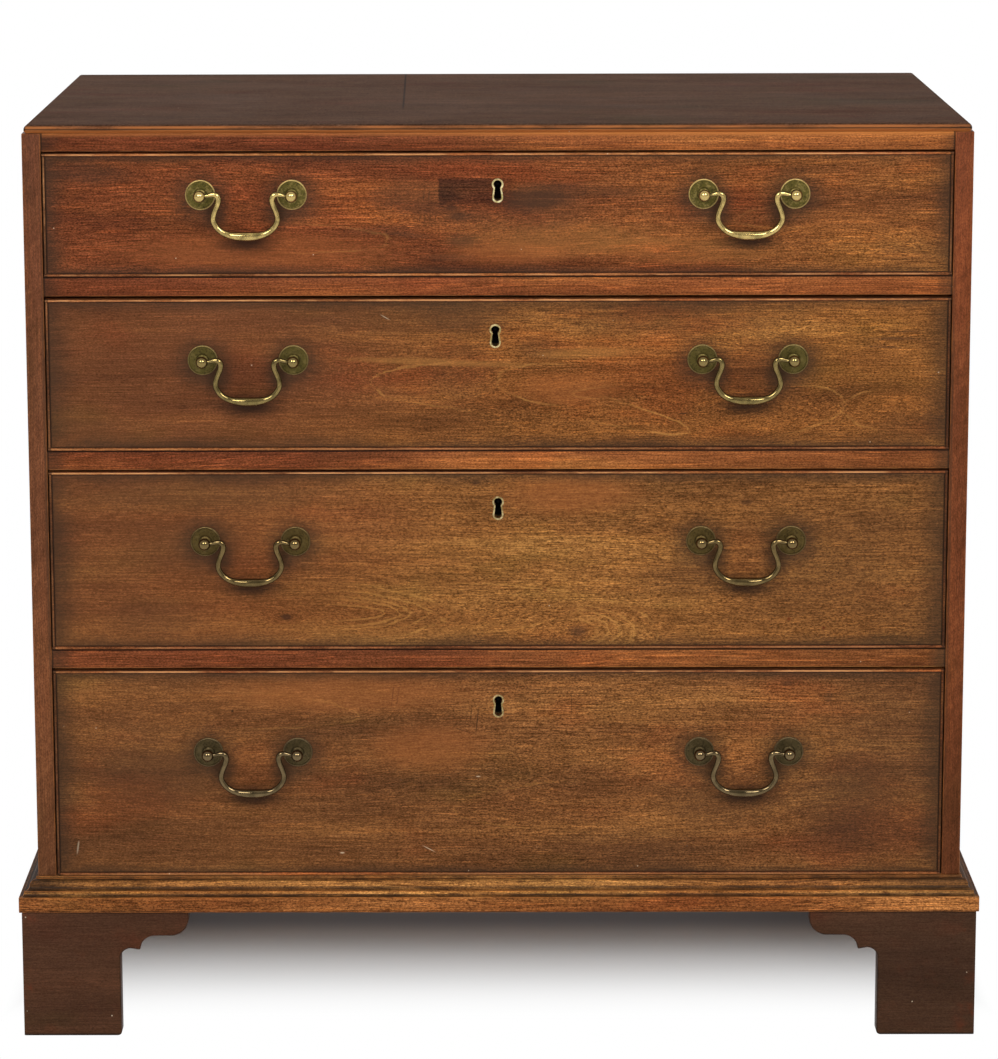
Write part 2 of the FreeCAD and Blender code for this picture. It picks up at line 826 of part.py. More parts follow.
def make_lock(drawer):
    """Case with its pin, the keyhole's edging, and the bolt; returns what the front makes room for."""
    name = drawer.name
    top = drawer.top
    half = dim.lock_width / 2
    centre = drawer.lock_x
    head = top - dim.lock_centre_drop
    back_plate = dim.front_thickness - dim.lock_plate
    case = board(name + "_lock_block", (centre - half, centre + half),
                 (dim.bead_depth, dim.front_thickness), (top - dim.lock_rise, top))
    slot = dim.bolt_width / 2 + dim.bolt_clearance
    reach = dim.bolt_thickness / 2 + dim.bolt_clearance
    channel = board(name + "_bolt_channel", (centre - slot, centre + slot),
                    (lock_middle() - reach, lock_middle() + reach),
                    (top - dim.bolt_rise - dim.bolt_sink * 2, top + dim.overcut))
    cavity_start = dim.bead_depth + dim.lock_plate
    cavity = rod(name + "_key_cavity", dim.lock_cavity_radius, back_plate - cavity_start, centre,
                 cavity_start, head)
    keyway = keyhole_plug(drawer, name + "_keyway", dim.keyhole_line,
                          dim.escutcheon_depth - dim.overcut, cavity_start)
    pin = rod(name + "_lock_pin", dim.lock_pin_radius, back_plate - dim.lock_pin_front, centre,
              dim.lock_pin_front, head)
    hollow = cut(name + "_lock_hollow", case, channel, cavity, keyway)
    body = fuse(name + "_lock_case", hollow, pin)

    plate = keyhole_plug(drawer, name + "_escutcheon_plate", 0, -dim.escutcheon_stand,
                         dim.escutcheon_depth)
    window = keyhole_plug(drawer, name + "_escutcheon_window", dim.keyhole_line, -dim.overcut,
                          dim.escutcheon_depth + dim.overcut)
    escutcheon = cut(name + "_escutcheon", plate, window)
    as_node(group(name + "_lock_group", body, escutcheon), name + "_lock")

    bolt_half = dim.bolt_width / 2
    thick = dim.bolt_thickness / 2
    bolt = board(name + "_bolt", (centre - bolt_half, centre + bolt_half),
                 (lock_middle() - thick, lock_middle() + thick),
                 (top - dim.bolt_sink - dim.bolt_rise, top - dim.bolt_sink))
    as_node(bolt, name + "_lock_bolt")
    return [case, plate, keyway]


def make_post(name, x, z, inwards):
    """Rose, knobbed post and nut of one end of a handle; inwards points at the bail."""
    stand = dim.post_stand
    rose = dim.rose_thickness
    loose = dim.shank_radius + dim.fitting_clearance
    rose_plate = rod(name + "_rose_plate", dim.rose_radius, rose, x, -rose, z)
    rim = ring(name + "_rose_rim", dim.rose_radius - dim.rose_rim, dim.rose_rim, x, -rose, z)
    bore = rod(name + "_rose_bore", loose, rose + dim.overcut * 2, x, -rose - dim.overcut, z)
    rose_piece = cut(name + "_rose", fuse(name + "_rose_blank", rose_plate, rim), bore)

    knob = ball(name + "_knob", dim.knob_radius, x, -stand, z)
    stem = rod(name + "_stem", dim.stem_radius, stand - rose, x, -stand, z)
    boss_stand = rose + dim.rose_boss_thickness
    boss = rod(name + "_boss", dim.rose_boss_radius, dim.rose_boss_thickness, x, -boss_stand, z)
    shank_length = rose + dim.front_thickness + dim.shank_tail
    shank = rod(name + "_shank", dim.shank_radius, shank_length, x, -rose, z)
    hole_start = x + dim.pin_inset if inwards > 0 else x - dim.knob_radius * 2
    hole = rod(name + "_pin_hole", dim.pin_radius + dim.pin_clearance, dim.knob_radius * 2 - dim.pin_inset,
               hole_start, -stand, z, ALONG_WIDTH)
    post = cut(name + "_post", fuse(name + "_post_blank", knob, stem, boss, shank), hole)

    half = dim.nut_width / 2
    nut_block = board(name + "_nut_block", (x - half, x + half),
                      (dim.front_thickness, dim.front_thickness + dim.nut_thickness), (z - half, z + half))
    nut_bore = rod(name + "_nut_bore", loose, dim.nut_thickness + dim.overcut * 2, x,
                   dim.front_thickness - dim.overcut, z)
    nut = cut(name + "_nut", nut_block, nut_bore)
    passage = rod(name + "_passage", loose, dim.front_thickness + dim.overcut * 2, x, -dim.overcut, z)
    return [rose_piece, post, nut], passage


def rounded_path(corners, radii):
    """Lines and tangent arcs through the corners of an open path."""
    points = [flat(corner) for corner in corners]
    edges = []
    start = points[0]
    for number, radius in enumerate(radii, 1):
        corner = points[number]
        back = (points[number - 1] - corner).normalize()
        ahead = (points[number + 1] - corner).normalize()
        half_angle = back.getAngle(ahead) / 2
        reach = radius.number / math.tan(half_angle)
        enter = corner + back * reach
        leave = corner + ahead * reach
        bisector = (back + ahead).normalize()
        nearest = corner + bisector * (radius.number / math.sin(half_angle) - radius.number)
        edges.append(Part.LineSegment(start, enter))
        edges.append(Part.Arc(enter, nearest, leave))
        start = leave
    edges.append(Part.LineSegment(start, points[-1]))
    return edges


def make_grip(name, x, z):
    """The bail's swelling: a shallow arc turned about the wire's own line."""
    swell = dim.grip_radius - dim.grip_end_radius
    length = dim.grip_half_length
    bow = (length * length + swell * swell) / (swell * 2)
    lean = math.degrees(math.asin(length.number / bow.number))
    sketch = doc.addObject("Sketcher::SketchObject", name + "_outline")
    trace(sketch, [
        (-length, 0),
        Arc((0, dim.grip_radius - bow), bow, 90 + lean, 90 - lean),
        (length, 0),
    ])
    put(sketch, x, -dim.post_stand, z, FACING_FRONT)
    grip = doc.addObject("Part::Revolution", name)
    grip.Source = sketch
    grip.Axis = LEFT_TO_RIGHT
    grip.Solid = True
    grip.setExpression("Base.x", as_size(x).text)
    grip.setExpression("Base.y", (front_plane - dim.post_stand).text)
    grip.setExpression("Base.z", as_size(z).text)
    return grip


def make_bail(name, x, z):
    """Swan-neck bail hanging from the two knobs, thickened in the middle for the grip."""
    half = dim.handle_spacing / 2
    left = [
        (dim.neck_start - half, 0),
        (dim.neck_reach - half, 0),
        (dim.waist_reach - half, -dim.waist_drop),
        (dim.foot_reach - half, -dim.bail_drop),
    ]
    right = [(-across, up) for across, up in reversed(left)]
    bends = [dim.neck_bend, dim.waist_bend, dim.foot_bend]
    path = doc.addObject("Sketcher::SketchObject", name + "_path")
    path.addGeometry(rounded_path(left + right, bends + bends[::-1]), False)
    put(path, x, -dim.post_stand, z, FACING_FRONT)
    section = doc.addObject("Sketcher::SketchObject", name + "_section")
    section.addGeometry([Part.Circle(Vector(), Vector(0, 0, 1), dim.bail_radius.number)], False)
    section.addConstraint(Sketcher.Constraint("Coincident", 0, 3, -1, 1))
    made = section.addConstraint(Sketcher.Constraint("Radius", 0, dim.bail_radius.number))
    section.setExpression(f"Constraints[{made}]", dim.bail_radius.text)
    put(section, x - half + dim.neck_start, -dim.post_stand, z, ALONG_WIDTH)
    doc.recompute()
    wire = doc.addObject("Part::Sweep", name + "_wire")
    wire.Sections = [section]
    wire.Spine = (path, [f"Edge{number + 1}" for number in range(len(path.Shape.Edges))])
    wire.Solid = True

    pin_length = dim.neck_start - dim.pin_end
    left_pin = rod(name + "_left_pin", dim.pin_radius, pin_length, x - half + dim.pin_end,
                   -dim.post_stand, z, ALONG_WIDTH)
    right_pin = rod(name + "_right_pin", dim.pin_radius, pin_length, x + half - dim.neck_start,
                    -dim.post_stand, z, ALONG_WIDTH)
    grip = make_grip(name + "_grip", x, z - dim.bail_drop)
    return as_node(fuse(name + "_whole", wire, left_pin, right_pin, grip), name)


def make_handles(drawer):
    """Both handles; returns the holes that the front needs for the posts."""
    fixings = []
    holes = []
    for word, side in (("left", -1), ("right", 1)):
        centre = dim.handle_x * side
        for place, inwards in (("a", 1), ("b", -1)):
            x = centre - dim.handle_spacing / 2 * inwards
            pieces, hole = make_post(f"{drawer.name}_{word}_{place}", x, drawer.handle_z, inwards)
            fixings += pieces
            holes.append(hole)
        make_bail(f"{drawer.name}_bail_{word}", centre, drawer.handle_z)
    as_node(group(drawer.name + "_fixing_group", *fixings), drawer.name + "_handle_fixings")
    return holes


def bead_strip(name, across, up, lengthwise):
    """Cock bead: a thin strip with a round nose that stands proud of the front."""
    nose = dim.bead_thickness / 2
    strip = board(name + "_strip", across, (nose - dim.bead_stand, dim.bead_depth), up)
    if lengthwise:
        middle = (up[0] + up[1]) / 2
        front = rod(name + "_nose", nose, across[1] - across[0], across[0], nose - dim.bead_stand, middle,
                    ALONG_WIDTH)
    else:
        middle = (across[0] + across[1]) / 2
        front = rod(name + "_nose", nose, up[1] - up[0], middle, nose - dim.bead_stand, up[0], Rotation())
    return fuse(name, strip, front)


def make_beads(drawer):
    half = drawer.half
    thick = dim.bead_thickness
    inner_low = drawer.floor + thick
    inner_high = drawer.top - thick
    lower = bead_strip(drawer.name + "_lower_bead", (-half, half), (drawer.floor, inner_low), True)
    upper = bead_strip(drawer.name + "_upper_bead", (-half, half), (inner_high, drawer.top), True)
    left = bead_strip(drawer.name + "_left_bead", (-half, thick - half), (inner_low, inner_high), False)
    right = mirrored(drawer.name + "_right_bead", left)
    beads = group(drawer.name + "_bead_group", lower, upper, left, right)
    as_node(beads, drawer.name + "_cock_beads")


def make_drawer(number):
    drawer = Drawer(number)
    name = drawer.name
    half = drawer.half
    thick = dim.bead_thickness
    left_front, left_back = drawer.tails(-1)
    right_front, right_back = drawer.tails(1)

    panel_half = half - dim.side_thickness + dim.floor_groove
    panel = board(name + "_panel", (-panel_half, panel_half),
                  (dim.front_thickness - dim.floor_front_groove, dim.drawer_length),
                  (drawer.floor + dim.floor_lift, drawer.panel_top))
    as_node(panel, name + "_bottom")

    room = make_lock(drawer) + make_handles(drawer)
    face = board(name + "_face", (thick - half, half - thick), (0, dim.bead_depth),
                 (drawer.floor + thick, drawer.top - thick))
    slab = board(name + "_slab", (-half, half), (dim.bead_depth, dim.front_thickness),
                 (drawer.floor, drawer.top))
    blank = fuse(name + "_front_blank", face, slab)
    as_node(cut(name + "_front_cut", blank, *left_front, *right_front, panel, *room), name + "_front")
    make_beads(drawer)

    sides = []
    joints = (("left", -1, left_front, left_back), ("right", 1, right_front, right_back))
    for word, side, front, back in joints:
        across = sorted((half * side, (half - dim.side_thickness) * side), key=by_number)
        plank = board(f"{name}_{word}_plank", across, (dim.front_thickness, drawer.back_start),
                      (drawer.floor, drawer.side_top))
        heel = board(f"{name}_{word}_heel", across, (drawer.back_start, dim.drawer_length),
                     (drawer.floor, drawer.panel_top))
        whole = fuse(f"{name}_{word}_side_blank", plank, heel, *front, *back)
        sides.append(cut(f"{name}_{word}_side", whole, panel))
    as_node(group(name + "_side_group", *sides), name + "_sides")

    back_board = board(name + "_back_blank", (-half, half), (drawer.back_start, dim.drawer_length),
                       (drawer.panel_top, drawer.back_top))
    as_node(cut(name + "_back_cut", back_board, *left_back, *right_back), name + "_back")


def check_document():
    """Stops if any object failed or any node's shape isn't sound."""
    for piece in doc.Objects:
        if "Invalid" in piece.State or "Error" in piece.State:
            raise RuntimeError(f"{piece.Name} failed: {piece.State}")
    for label, piece in nodes.items():
        if piece.Shape.isNull() or not piece.Shape.isValid() or not piece.Shape.Solids:
            raise RuntimeError(f"{label} has no sound solid")


def write_nodes():
    os.makedirs("parts", exist_ok=True)
    for label, piece in nodes.items():
        piece.Shape.exportStep(os.path.join("parts", label + ".step"))


make_carcase()
make_mouldings()
make_base_frame()
make_feet()
make_glue_blocks()
for drawer_number in DRAWER_NUMBERS:
    make_drawer(drawer_number)
doc.recompute()
check_document()
write_nodes()
print(len(nodes), "nodes")
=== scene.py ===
import json
import math

import bmesh
import bpy
from mathutils import Matrix, Vector

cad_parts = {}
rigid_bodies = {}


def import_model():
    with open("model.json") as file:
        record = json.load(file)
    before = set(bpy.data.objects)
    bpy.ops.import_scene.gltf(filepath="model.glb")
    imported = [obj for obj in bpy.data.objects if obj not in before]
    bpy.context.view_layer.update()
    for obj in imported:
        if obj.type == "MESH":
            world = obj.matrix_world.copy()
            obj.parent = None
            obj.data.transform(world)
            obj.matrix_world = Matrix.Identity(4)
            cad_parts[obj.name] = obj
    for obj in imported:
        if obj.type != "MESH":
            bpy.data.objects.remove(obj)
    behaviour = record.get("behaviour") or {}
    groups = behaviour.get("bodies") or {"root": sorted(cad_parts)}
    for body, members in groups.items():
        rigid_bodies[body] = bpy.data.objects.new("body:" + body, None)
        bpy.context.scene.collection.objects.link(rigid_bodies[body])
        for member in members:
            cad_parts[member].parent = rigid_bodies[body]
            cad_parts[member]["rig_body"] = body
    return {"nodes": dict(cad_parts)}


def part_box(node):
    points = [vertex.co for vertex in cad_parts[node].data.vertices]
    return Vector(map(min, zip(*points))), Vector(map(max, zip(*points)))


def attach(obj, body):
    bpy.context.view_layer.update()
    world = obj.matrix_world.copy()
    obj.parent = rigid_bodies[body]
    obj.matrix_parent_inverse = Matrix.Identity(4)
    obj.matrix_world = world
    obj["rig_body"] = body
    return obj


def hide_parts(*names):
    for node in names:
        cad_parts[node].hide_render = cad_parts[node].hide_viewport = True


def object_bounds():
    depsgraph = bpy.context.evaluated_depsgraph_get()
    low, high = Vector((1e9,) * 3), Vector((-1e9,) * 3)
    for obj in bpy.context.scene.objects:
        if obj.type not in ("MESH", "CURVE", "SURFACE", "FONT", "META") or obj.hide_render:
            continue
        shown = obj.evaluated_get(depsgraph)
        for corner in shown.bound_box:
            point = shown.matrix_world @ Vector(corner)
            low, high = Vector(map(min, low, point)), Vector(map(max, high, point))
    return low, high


# The looks of a mahogany chest of four long drawers: polished and worn wood, pine and drawer
# linings inside, swan-neck handles and keyhole edgings of old brass, on a white studio floor.
# Metres. X runs along the chest, -Y comes out of its front, +Z is up.

MM = 0.001
DRAWERS = (1, 2, 3, 4)
SIDES = (("left", -1), ("right", 1))
HANDLE_X = 242 * MM
POST_OFFSET = 44 * MM
HANDLE_HEIGHT = {1: 840.5 * MM, 2: 679.5 * MM, 3: 500 * MM, 4: 287.5 * MM}
KNOB_STAND = 15 * MM
BACK_PLANKS = 5
SAME_POINT = 0.01 * MM
FLAT_ANGLE = math.radians(1)
EDGE_ANGLE = math.radians(32)
# A reach in millimetres so long that its axis counts for nothing.
ENDLESS = 1000000
# The sockets of a Mix node that mixes colours.
MIX_SHARE, MIX_FIRST, MIX_SECOND, MIX_RESULT = 0, 6, 7, 2

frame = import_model()
cad_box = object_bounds()
NODES = frame["nodes"]
FRONT_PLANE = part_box("side_panel_left")[0].y


# Colours, written as they look on a screen.

def linear(value):
    """A screen's level, 0 to 255, as light."""
    value = value / 255
    return value / 12.92 if value <= 0.04045 else ((value + 0.055) / 1.055) ** 2.4


def colour(red, green, blue):
    return linear(red), linear(green), linear(blue), 1.0


# The next two darks serve for dirt and dark joints, and also for painted shade and painted shadows.
GRIME_AND_SHADE = colour(58, 42, 29)
SOOT_AND_SHADE = colour(38, 27, 20)
# A bright orange for rubbed edges, and also a painted highlight along them.
RUBBED_AND_HIGHLIGHT = colour(184, 112, 54)
DUST = colour(196, 178, 152)
KNOT = colour(62, 38, 24)
STAIN = colour(66, 44, 30)
SCRATCH = colour(48, 30, 20)
PALE = colour(206, 186, 156)
RED_SPOT = colour(96, 34, 18)
SCUFF = colour(112, 50, 28)
GOLDEN = colour(196, 140, 72)
WARM = colour(168, 98, 50)
# A painted shadow for the gaps round the drawers.
GAP_SHADOW = colour(14, 9, 6)


# Ways of building a finish.

class Nodes:
    """A node tree, with short ways of adding to it."""

    def __init__(self, tree):
        self.tree = tree

    def add(self, kind, inputs=None, **settings):
        node = self.tree.nodes.new("ShaderNode" + kind)
        for name, value in settings.items():
            setattr(node, name, value)
        for name, value in (inputs or {}).items():
            self.feed(node.inputs[name], value)
        return node

    def feed(self, socket, value):
        if isinstance(value, bpy.types.NodeSocket):
            self.tree.links.new(value, socket)
        else:
            socket.default_value = value

    def sum(self, operation, *inputs):
        """A sum worked out by one node, on numbers or on other nodes' outputs."""
        return self.add("Math", dict(enumerate(inputs)), operation=operation).outputs[0]

    def vector_sum(self, operation, *inputs):
        node = self.add("VectorMath", dict(enumerate(inputs)), operation=operation)
        return node.outputs["Value" if operation == "LENGTH" else "Vector"]

    def times(self, first, *others):
        for other in others:
            first = self.sum("MULTIPLY", first, other)
        return first

    def scaled(self, value, factor, shift):
        """A value times a factor, and then shifted."""
        return self.sum("MULTIPLY_ADD", value, factor, shift)

    def minus(self, first, second):
        return self.sum("SUBTRACT", first, second)

    def unsigned(self, value):
        return self.sum("ABSOLUTE", value)

    def larger(self, first, second):
        return self.sum("MAXIMUM", first, second)

    def step(self, value, low, high, at_low, at_high, shape):
        """A value carried from the range low to high into another, and held beyond its ends."""
        inputs = {"Value": value, "From Min": low, "From Max": high, "To Min": at_low, "To Max": at_high}
        return self.add("MapRange", inputs, interpolation_type=shape).outputs["Result"]


class Finish(Nodes):
    """A material's node tree, with the patterns that its colours are built from."""

    def __init__(self, name):
        self.material = bpy.data.materials.new(name)
        self.material.use_nodes = True
        super().__init__(self.material.node_tree)
        self.shader = self.tree.nodes["Principled BSDF"]
        self.place = self.add("TexCoord").outputs["Object"]
        self.x, self.y, self.z = self.add("SeparateXYZ", {"Vector": self.place}).outputs

    def band(self, value, low, high, at_low=0.0, at_high=1.0):
        """A smooth step of a value from one level to another."""
        return self.step(value, low, high, at_low, at_high, "SMOOTHSTEP")

    def span(self, value, low, high, at_low=0.0, at_high=1.0):
        """A band between two levels in millimetres."""
        return self.band(value, low * MM, high * MM, at_low, at_high)

    def stretched(self, repeats, offset=(0, 0, 0), vector=None):
        """The piece's own coordinates, scaled to so many repeats a metre along each axis."""
        inputs = {"Vector": vector or self.place, "Location": offset, "Scale": repeats}
        return self.add("Mapping", inputs).outputs["Vector"]

    def noise(self, repeats, offset=(0, 0, 0), detail=2.0, roughness=0.5, vector=None):
        inputs = {"Vector": self.stretched(repeats, offset, vector), "Scale": 1.0, "Detail": detail,
                  "Roughness": roughness}
        return self.add("TexNoise", inputs).outputs["Fac"]

    def specks(self, repeats, offset, size, share):
        """Small scattered dots: one in a share of the cells, each of that size in cells."""
        inputs = {"Vector": self.stretched(repeats, offset), "Scale": 1.0}
        cells = self.add("TexVoronoi", inputs).outputs
        near = self.sum("LESS_THAN", cells["Distance"], size)
        chosen = self.add("SeparateColor", {"Color": cells["Color"]}).outputs[0]
        return self.times(near, self.sum("LESS_THAN", chosen, share))

    def turned(self, middle, reach, turn=0.0, vector=None):
        """Coordinates centred on a place, turned about Y and measured in its reach along each axis,
        given in millimetres. An axis given as None is ignored."""
        inputs = {"Vector": vector or self.place,
                  "Location": [value or 0.0 for value in middle],
                  "Rotation": (0, math.radians(turn), 0),
                  "Scale": [(value or ENDLESS) * MM for value in reach]}
        return self.add("Mapping", inputs, vector_type="TEXTURE").outputs["Vector"]

    def blot(self, middle, reach, turn=0.0, soft=0.7, ragged=0.0, vector=None):
        """A soft-edged patch, 1 in its middle and 0 beyond its reach."""
        away = self.vector_sum("LENGTH", self.turned(middle, reach, turn, vector))
        if ragged:
            seed = [(value or 0.0) * 7 for value in middle]
            rough = self.noise((90, 90, 220), seed, detail=3, roughness=0.6)
            away = self.sum("ADD", away, self.scaled(rough, ragged, -0.5 * ragged))
        return self.band(away, 1.0, 1.0 - soft)

    def mix(self, share, first, second, kind="MIX"):
        inputs = {MIX_SHARE: share, MIX_FIRST: first, MIX_SECOND: second}
        node = self.add("Mix", inputs, data_type="RGBA", blend_type=kind, clamp_factor=True)
        return node.outputs[MIX_RESULT]

    def tint(self, share, base, *factors):
        """A colour multiplied by three factors, by so much."""
        return self.mix(share, base, (*factors, 1), "MULTIPLY")

    def shaded(self, base, pattern, strength):
        """A colour made lighter and darker by a pattern about its middle level."""
        slope = [strength, 1.08 * strength, 1.16 * strength]
        centre = [1 - part / 2 for part in slope]
        level = self.vector_sum("MULTIPLY_ADD", pattern, slope, centre)
        level = self.vector_sum("MAXIMUM", level, (0.2, 0.2, 0.2))
        return self.vector_sum("MULTIPLY", base, level)

    def ramp(self, value, *stops):
        """Colours spread along a value: (place, (red, green, blue)) for each."""
        node = self.add("ValToRGB", {"Fac": value})
        points = node.color_ramp.elements
        while len(points) < len(stops):
            points.new(0.5)
        for point, (place, tone) in zip(points, stops):
            point.position = place
            point.color = colour(*tone)
        return node.outputs["Color"]

    def finish(self, base, roughness, specular, bump=None, height=0.0, metallic=0.0):
        self.feed(self.shader.inputs["Base Color"], base)
        self.feed(self.shader.inputs["Roughness"], roughness)
        self.shader.inputs["Specular IOR Level"].default_value = specular
        self.shader.inputs["Metallic"].default_value = metallic
        if bump is not None:
            relief = self.add("Bump", {"Height": bump, "Distance": height, "Strength": 1.0})
            self.feed(self.shader.inputs["Normal"], relief.outputs["Normal"])
        return self.material


def along(grain, lengthwise, across):
    """Repeats a metre for a pattern that is drawn out along the grain."""
    return [lengthwise if axis == grain else across for axis in "xyz"]


def bent_grain(wood, grain, shift, swirls):
    """The piece's coordinates with its grain wandering, and lifted round each swirl."""
    warp = wood.noise(along(grain, 1.7, 5.5), shift, detail=2)
    bend = wood.scaled(warp, 0.05, -0.025)
    for x, z, wide, high, rise in swirls:
        lens = wood.blot((x * MM, None, z * MM), (wide, None, high), soft=1.0, ragged=0.25)
        bend = wood.scaled(lens, rise * MM, bend)
    lift = wood.add("CombineXYZ", {axis.upper(): bend for axis in "xyz" if axis != grain})
    return wood.vector_sum("ADD", wood.place, lift.outputs[0])


def old_wood(name, grain, tones, far_tones=None, crossing=(0.0, 0.2), seed=0.0, swirls=(),
             figure=0.8, grit=1.0, pore=0.6, gold=0.5, hues=0.9, drawn=1.0, veiled=0.0,
             polish=0.05, dull=0.45, layers=()):
    """Old polished wood: banded figure, fine streaks, golden lines, short pores and a patchy polish.
    The streaks are longer the lower drawn is; veiled is how far the left half's polish hides them.
    Tones run from dark to light. The crossing is where along X they turn into the far tones, and
    half the width of that change."""
    wood = Finish(name)
    shift = (seed, seed * 0.37, seed * 0.71)
    wavy = bent_grain(wood, grain, shift, swirls)

    def grained(lengthwise, across, place=None, offset=shift, detail=3, roughness=0.6):
        return wood.noise(along(grain, lengthwise, across), offset, detail, roughness, place)

    broad = grained(2.4, 22, wavy, detail=5, roughness=0.5)
    spread = 0.17 / figure
    places = (0.5 - spread, 0.5, 0.5 + spread)
    base = wood.ramp(broad, *zip(places, tones))
    if far_tones:
        far = wood.ramp(broad, *zip(places, far_tones))
        drift = grained(3.0, 9, roughness=0.5)
        reach = wood.scaled(drift, 0.5, wood.x)
        middle, width = crossing
        share = wood.band(reach, middle + 0.25 - width, middle + 0.25 + width)
        base = wood.mix(share, base, far)

    hue = grained(5, 12, offset=(seed + 9, seed, seed))
    base = wood.tint(wood.band(hue, 0.54, 0.72, 0, hues), base, 0.84, 0.95, 0.86)
    base = wood.tint(wood.band(hue, 0.46, 0.30, 0, hues), base, 1.04, 0.84, 0.82)
    cloud = grained(14, 26)
    fine = grained(12 * drawn, 330, wavy)
    lines = grained(11 * drawn, 640, wavy, (seed + 4, seed, seed), detail=2, roughness=0.5)
    streaks = grained(9 * drawn, 1000, wavy, (seed + 6, seed, seed), detail=1, roughness=0.5)
    dashes = grained(70 * drawn, 950, wavy, detail=2, roughness=0.7)
    crumbs = grained(460, 900, offset=(seed, seed + 2, seed), detail=1, roughness=0.8)
    base = wood.shaded(base, cloud, 0.35)
    plain = base
    for pattern, strength in ((fine, 0.45), (streaks, 1.4), (dashes, 1.9), (crumbs, 2.7)):
        base = wood.shaded(base, pattern, strength * grit)
    base = wood.tint(wood.band(lines, 0.56, 0.66, 0, gold), base, 1.75, 1.65, 1.45)
    pores = grained(150 * drawn, 700, wavy, detail=2)
    open_grain = grained(5, 16, detail=2, roughness=0.5)
    depth = wood.times(wood.band(pores, 0.56, 0.64), wood.band(open_grain, 0.38, 0.62, 0.3, 1))
    base = wood.tint(wood.times(depth, pore), base, 0.40, 0.34, 0.32)
    mottle = grained(8, 15, detail=4)
    base = wood.tint(wood.band(mottle, 0.50, 0.75, 0, 0.4), base, 0.70, 0.68, 0.68)
    if veiled:
        base = wood.mix(wood.span(wood.x, 60, -300, 0, veiled), base, plain)
    for layer in layers:
        base = layer(wood, base)
    dust = wood.specks((60, 60, 60), shift, 0.04, 0.10)
    base = wood.mix(wood.times(dust, 0.6), base, DUST)
    rough = wood.scaled(mottle, 0.25, dull - 0.12)
    relief = wood.scaled(depth, -1.0, wood.times(fine, 0.35))
    return wood.finish(base, rough, polish, bump=relief, height=0.12 * MM)


# Layers of wear and dirt over a wood.

def patchy_arris(amount, shade=RUBBED_AND_HIGHLIGHT):
    """Patches of a colour along the softened edges; the bright default is rubbed polish and also
    a painted highlight.
    """
    def layer(wood, base):
        edge = wood.add("Attribute", attribute_name="arris").outputs["Fac"]
        patches = wood.noise((45, 45, 45), (3, 1, 2), detail=4, roughness=0.65)
        share = wood.times(edge, wood.band(patches, 0.38, 0.62, 0.15 * amount, amount))
        # Where the colour is the bright default, these patches are also a painted highlight.
        return wood.mix(share, base, shade)
    return layer


def inset(wood, low, high, axis):
    """Distance in from the nearer end of a piece along an axis."""
    near, far, place = (getattr(each, axis) for each in (low, high, wood))
    return wood.minus((far - near) / 2, wood.unsigned(wood.minus(place, (near + far) / 2)))


def dark_border_and_bead_shadow(low, high, reach):
    """A front darker along its edges and wider at its ends, with a painted shadow beside its beads."""
    def layer(wood, base):
        across, up = inset(wood, low, high, "x"), inset(wood, low, high, "z")
        near = wood.sum("MINIMUM", wood.times(across, 0.5), up)
        ragged = wood.noise((14, 14, 22), (low.z * 9, 0, 0), detail=4, roughness=0.6)
        spread = wood.scaled(ragged, -1.6 * reach, wood.sum("ADD", near, 0.8 * reach))
        base = wood.mix(wood.band(spread, 1.5 * reach, 0.0, 0, 0.72), base, GRIME_AND_SHADE)
        # A painted shadow right beside the beads.
        beside = wood.sum("MINIMUM", across, up)
        return wood.mix(wood.span(beside, 4.4, 3.2, 0, 0.7), base, SOOT_AND_SHADE)
    return layer


def about_posts(wood):
    """Distance across from the middle of the nearer handle, and coordinates about its posts."""
    across = wood.minus(wood.unsigned(wood.x), HANDLE_X)
    to_post = wood.minus(wood.unsigned(across), POST_OFFSET)
    return across, wood.add("CombineXYZ", {"X": to_post, "Z": wood.z}).outputs[0]


def handle_shadows(height):
    """Painted shade with dirt round the roses and beside the rods, a painted shadow under the grip,
    and redder wood within the bail.
    """
    def layer(wood, base):
        across, post = about_posts(wood)
        handle = wood.add("CombineXYZ", {"X": across, "Z": wood.z}).outputs[0]

        def shadow(about, x, drop, wide, high, **edge):
            middle = (x * MM, None, height - drop * MM)
            return wood.blot(middle, (wide, None, high), vector=about, **edge)

        rose = shadow(post, 0, 2, 38, 34, ragged=0.35)
        rod = shadow(post, -14, 20, 19, 25, soft=0.9)
        grip = shadow(handle, 0, 46, 44, 15, soft=0.9, ragged=0.3)
        between = shadow(handle, 0, 14, 40, 38)
        base = wood.tint(wood.times(between, 0.7), base, 0.94, 0.80, 0.80)
        # Painted shade with dirt round the roses and beside the rods, and a painted shadow under the
        # grip.
        base = wood.mix(wood.times(rose, 0.70), base, GRIME_AND_SHADE)
        base = wood.mix(wood.times(rod, 0.70), base, GRIME_AND_SHADE)
        return wood.mix(wood.times(grip, 0.85), base, SOOT_AND_SHADE)
    return layer


def on_the_face(*layers):
    """Layers that lie on a drawer's face alone and leave its edges and its back plain."""
    def layer(wood, base):
        face = base
        for each in layers:
            face = each(wood, face)
        in_front = wood.band(wood.y, FRONT_PLANE + 1.2 * MM, FRONT_PLANE + 0.4 * MM)
        return wood.mix(in_front, base, face)
    return layer


def marks(*list_of_marks):
    """Stains, knots and scratches, in millimetres and degrees:
    (x, z, half length, half height, turn, shade, share)."""
    def layer(wood, base):
        for x, z, wide, high, turn, shade, share in list_of_marks:
            spot = wood.blot((x * MM, None, z * MM), (wide, None, high), turn,
                             ragged=0.5 if high > 2 else 0.0)
            base = wood.mix(wood.times(spot, share), base, shade)
        return base
    return layer


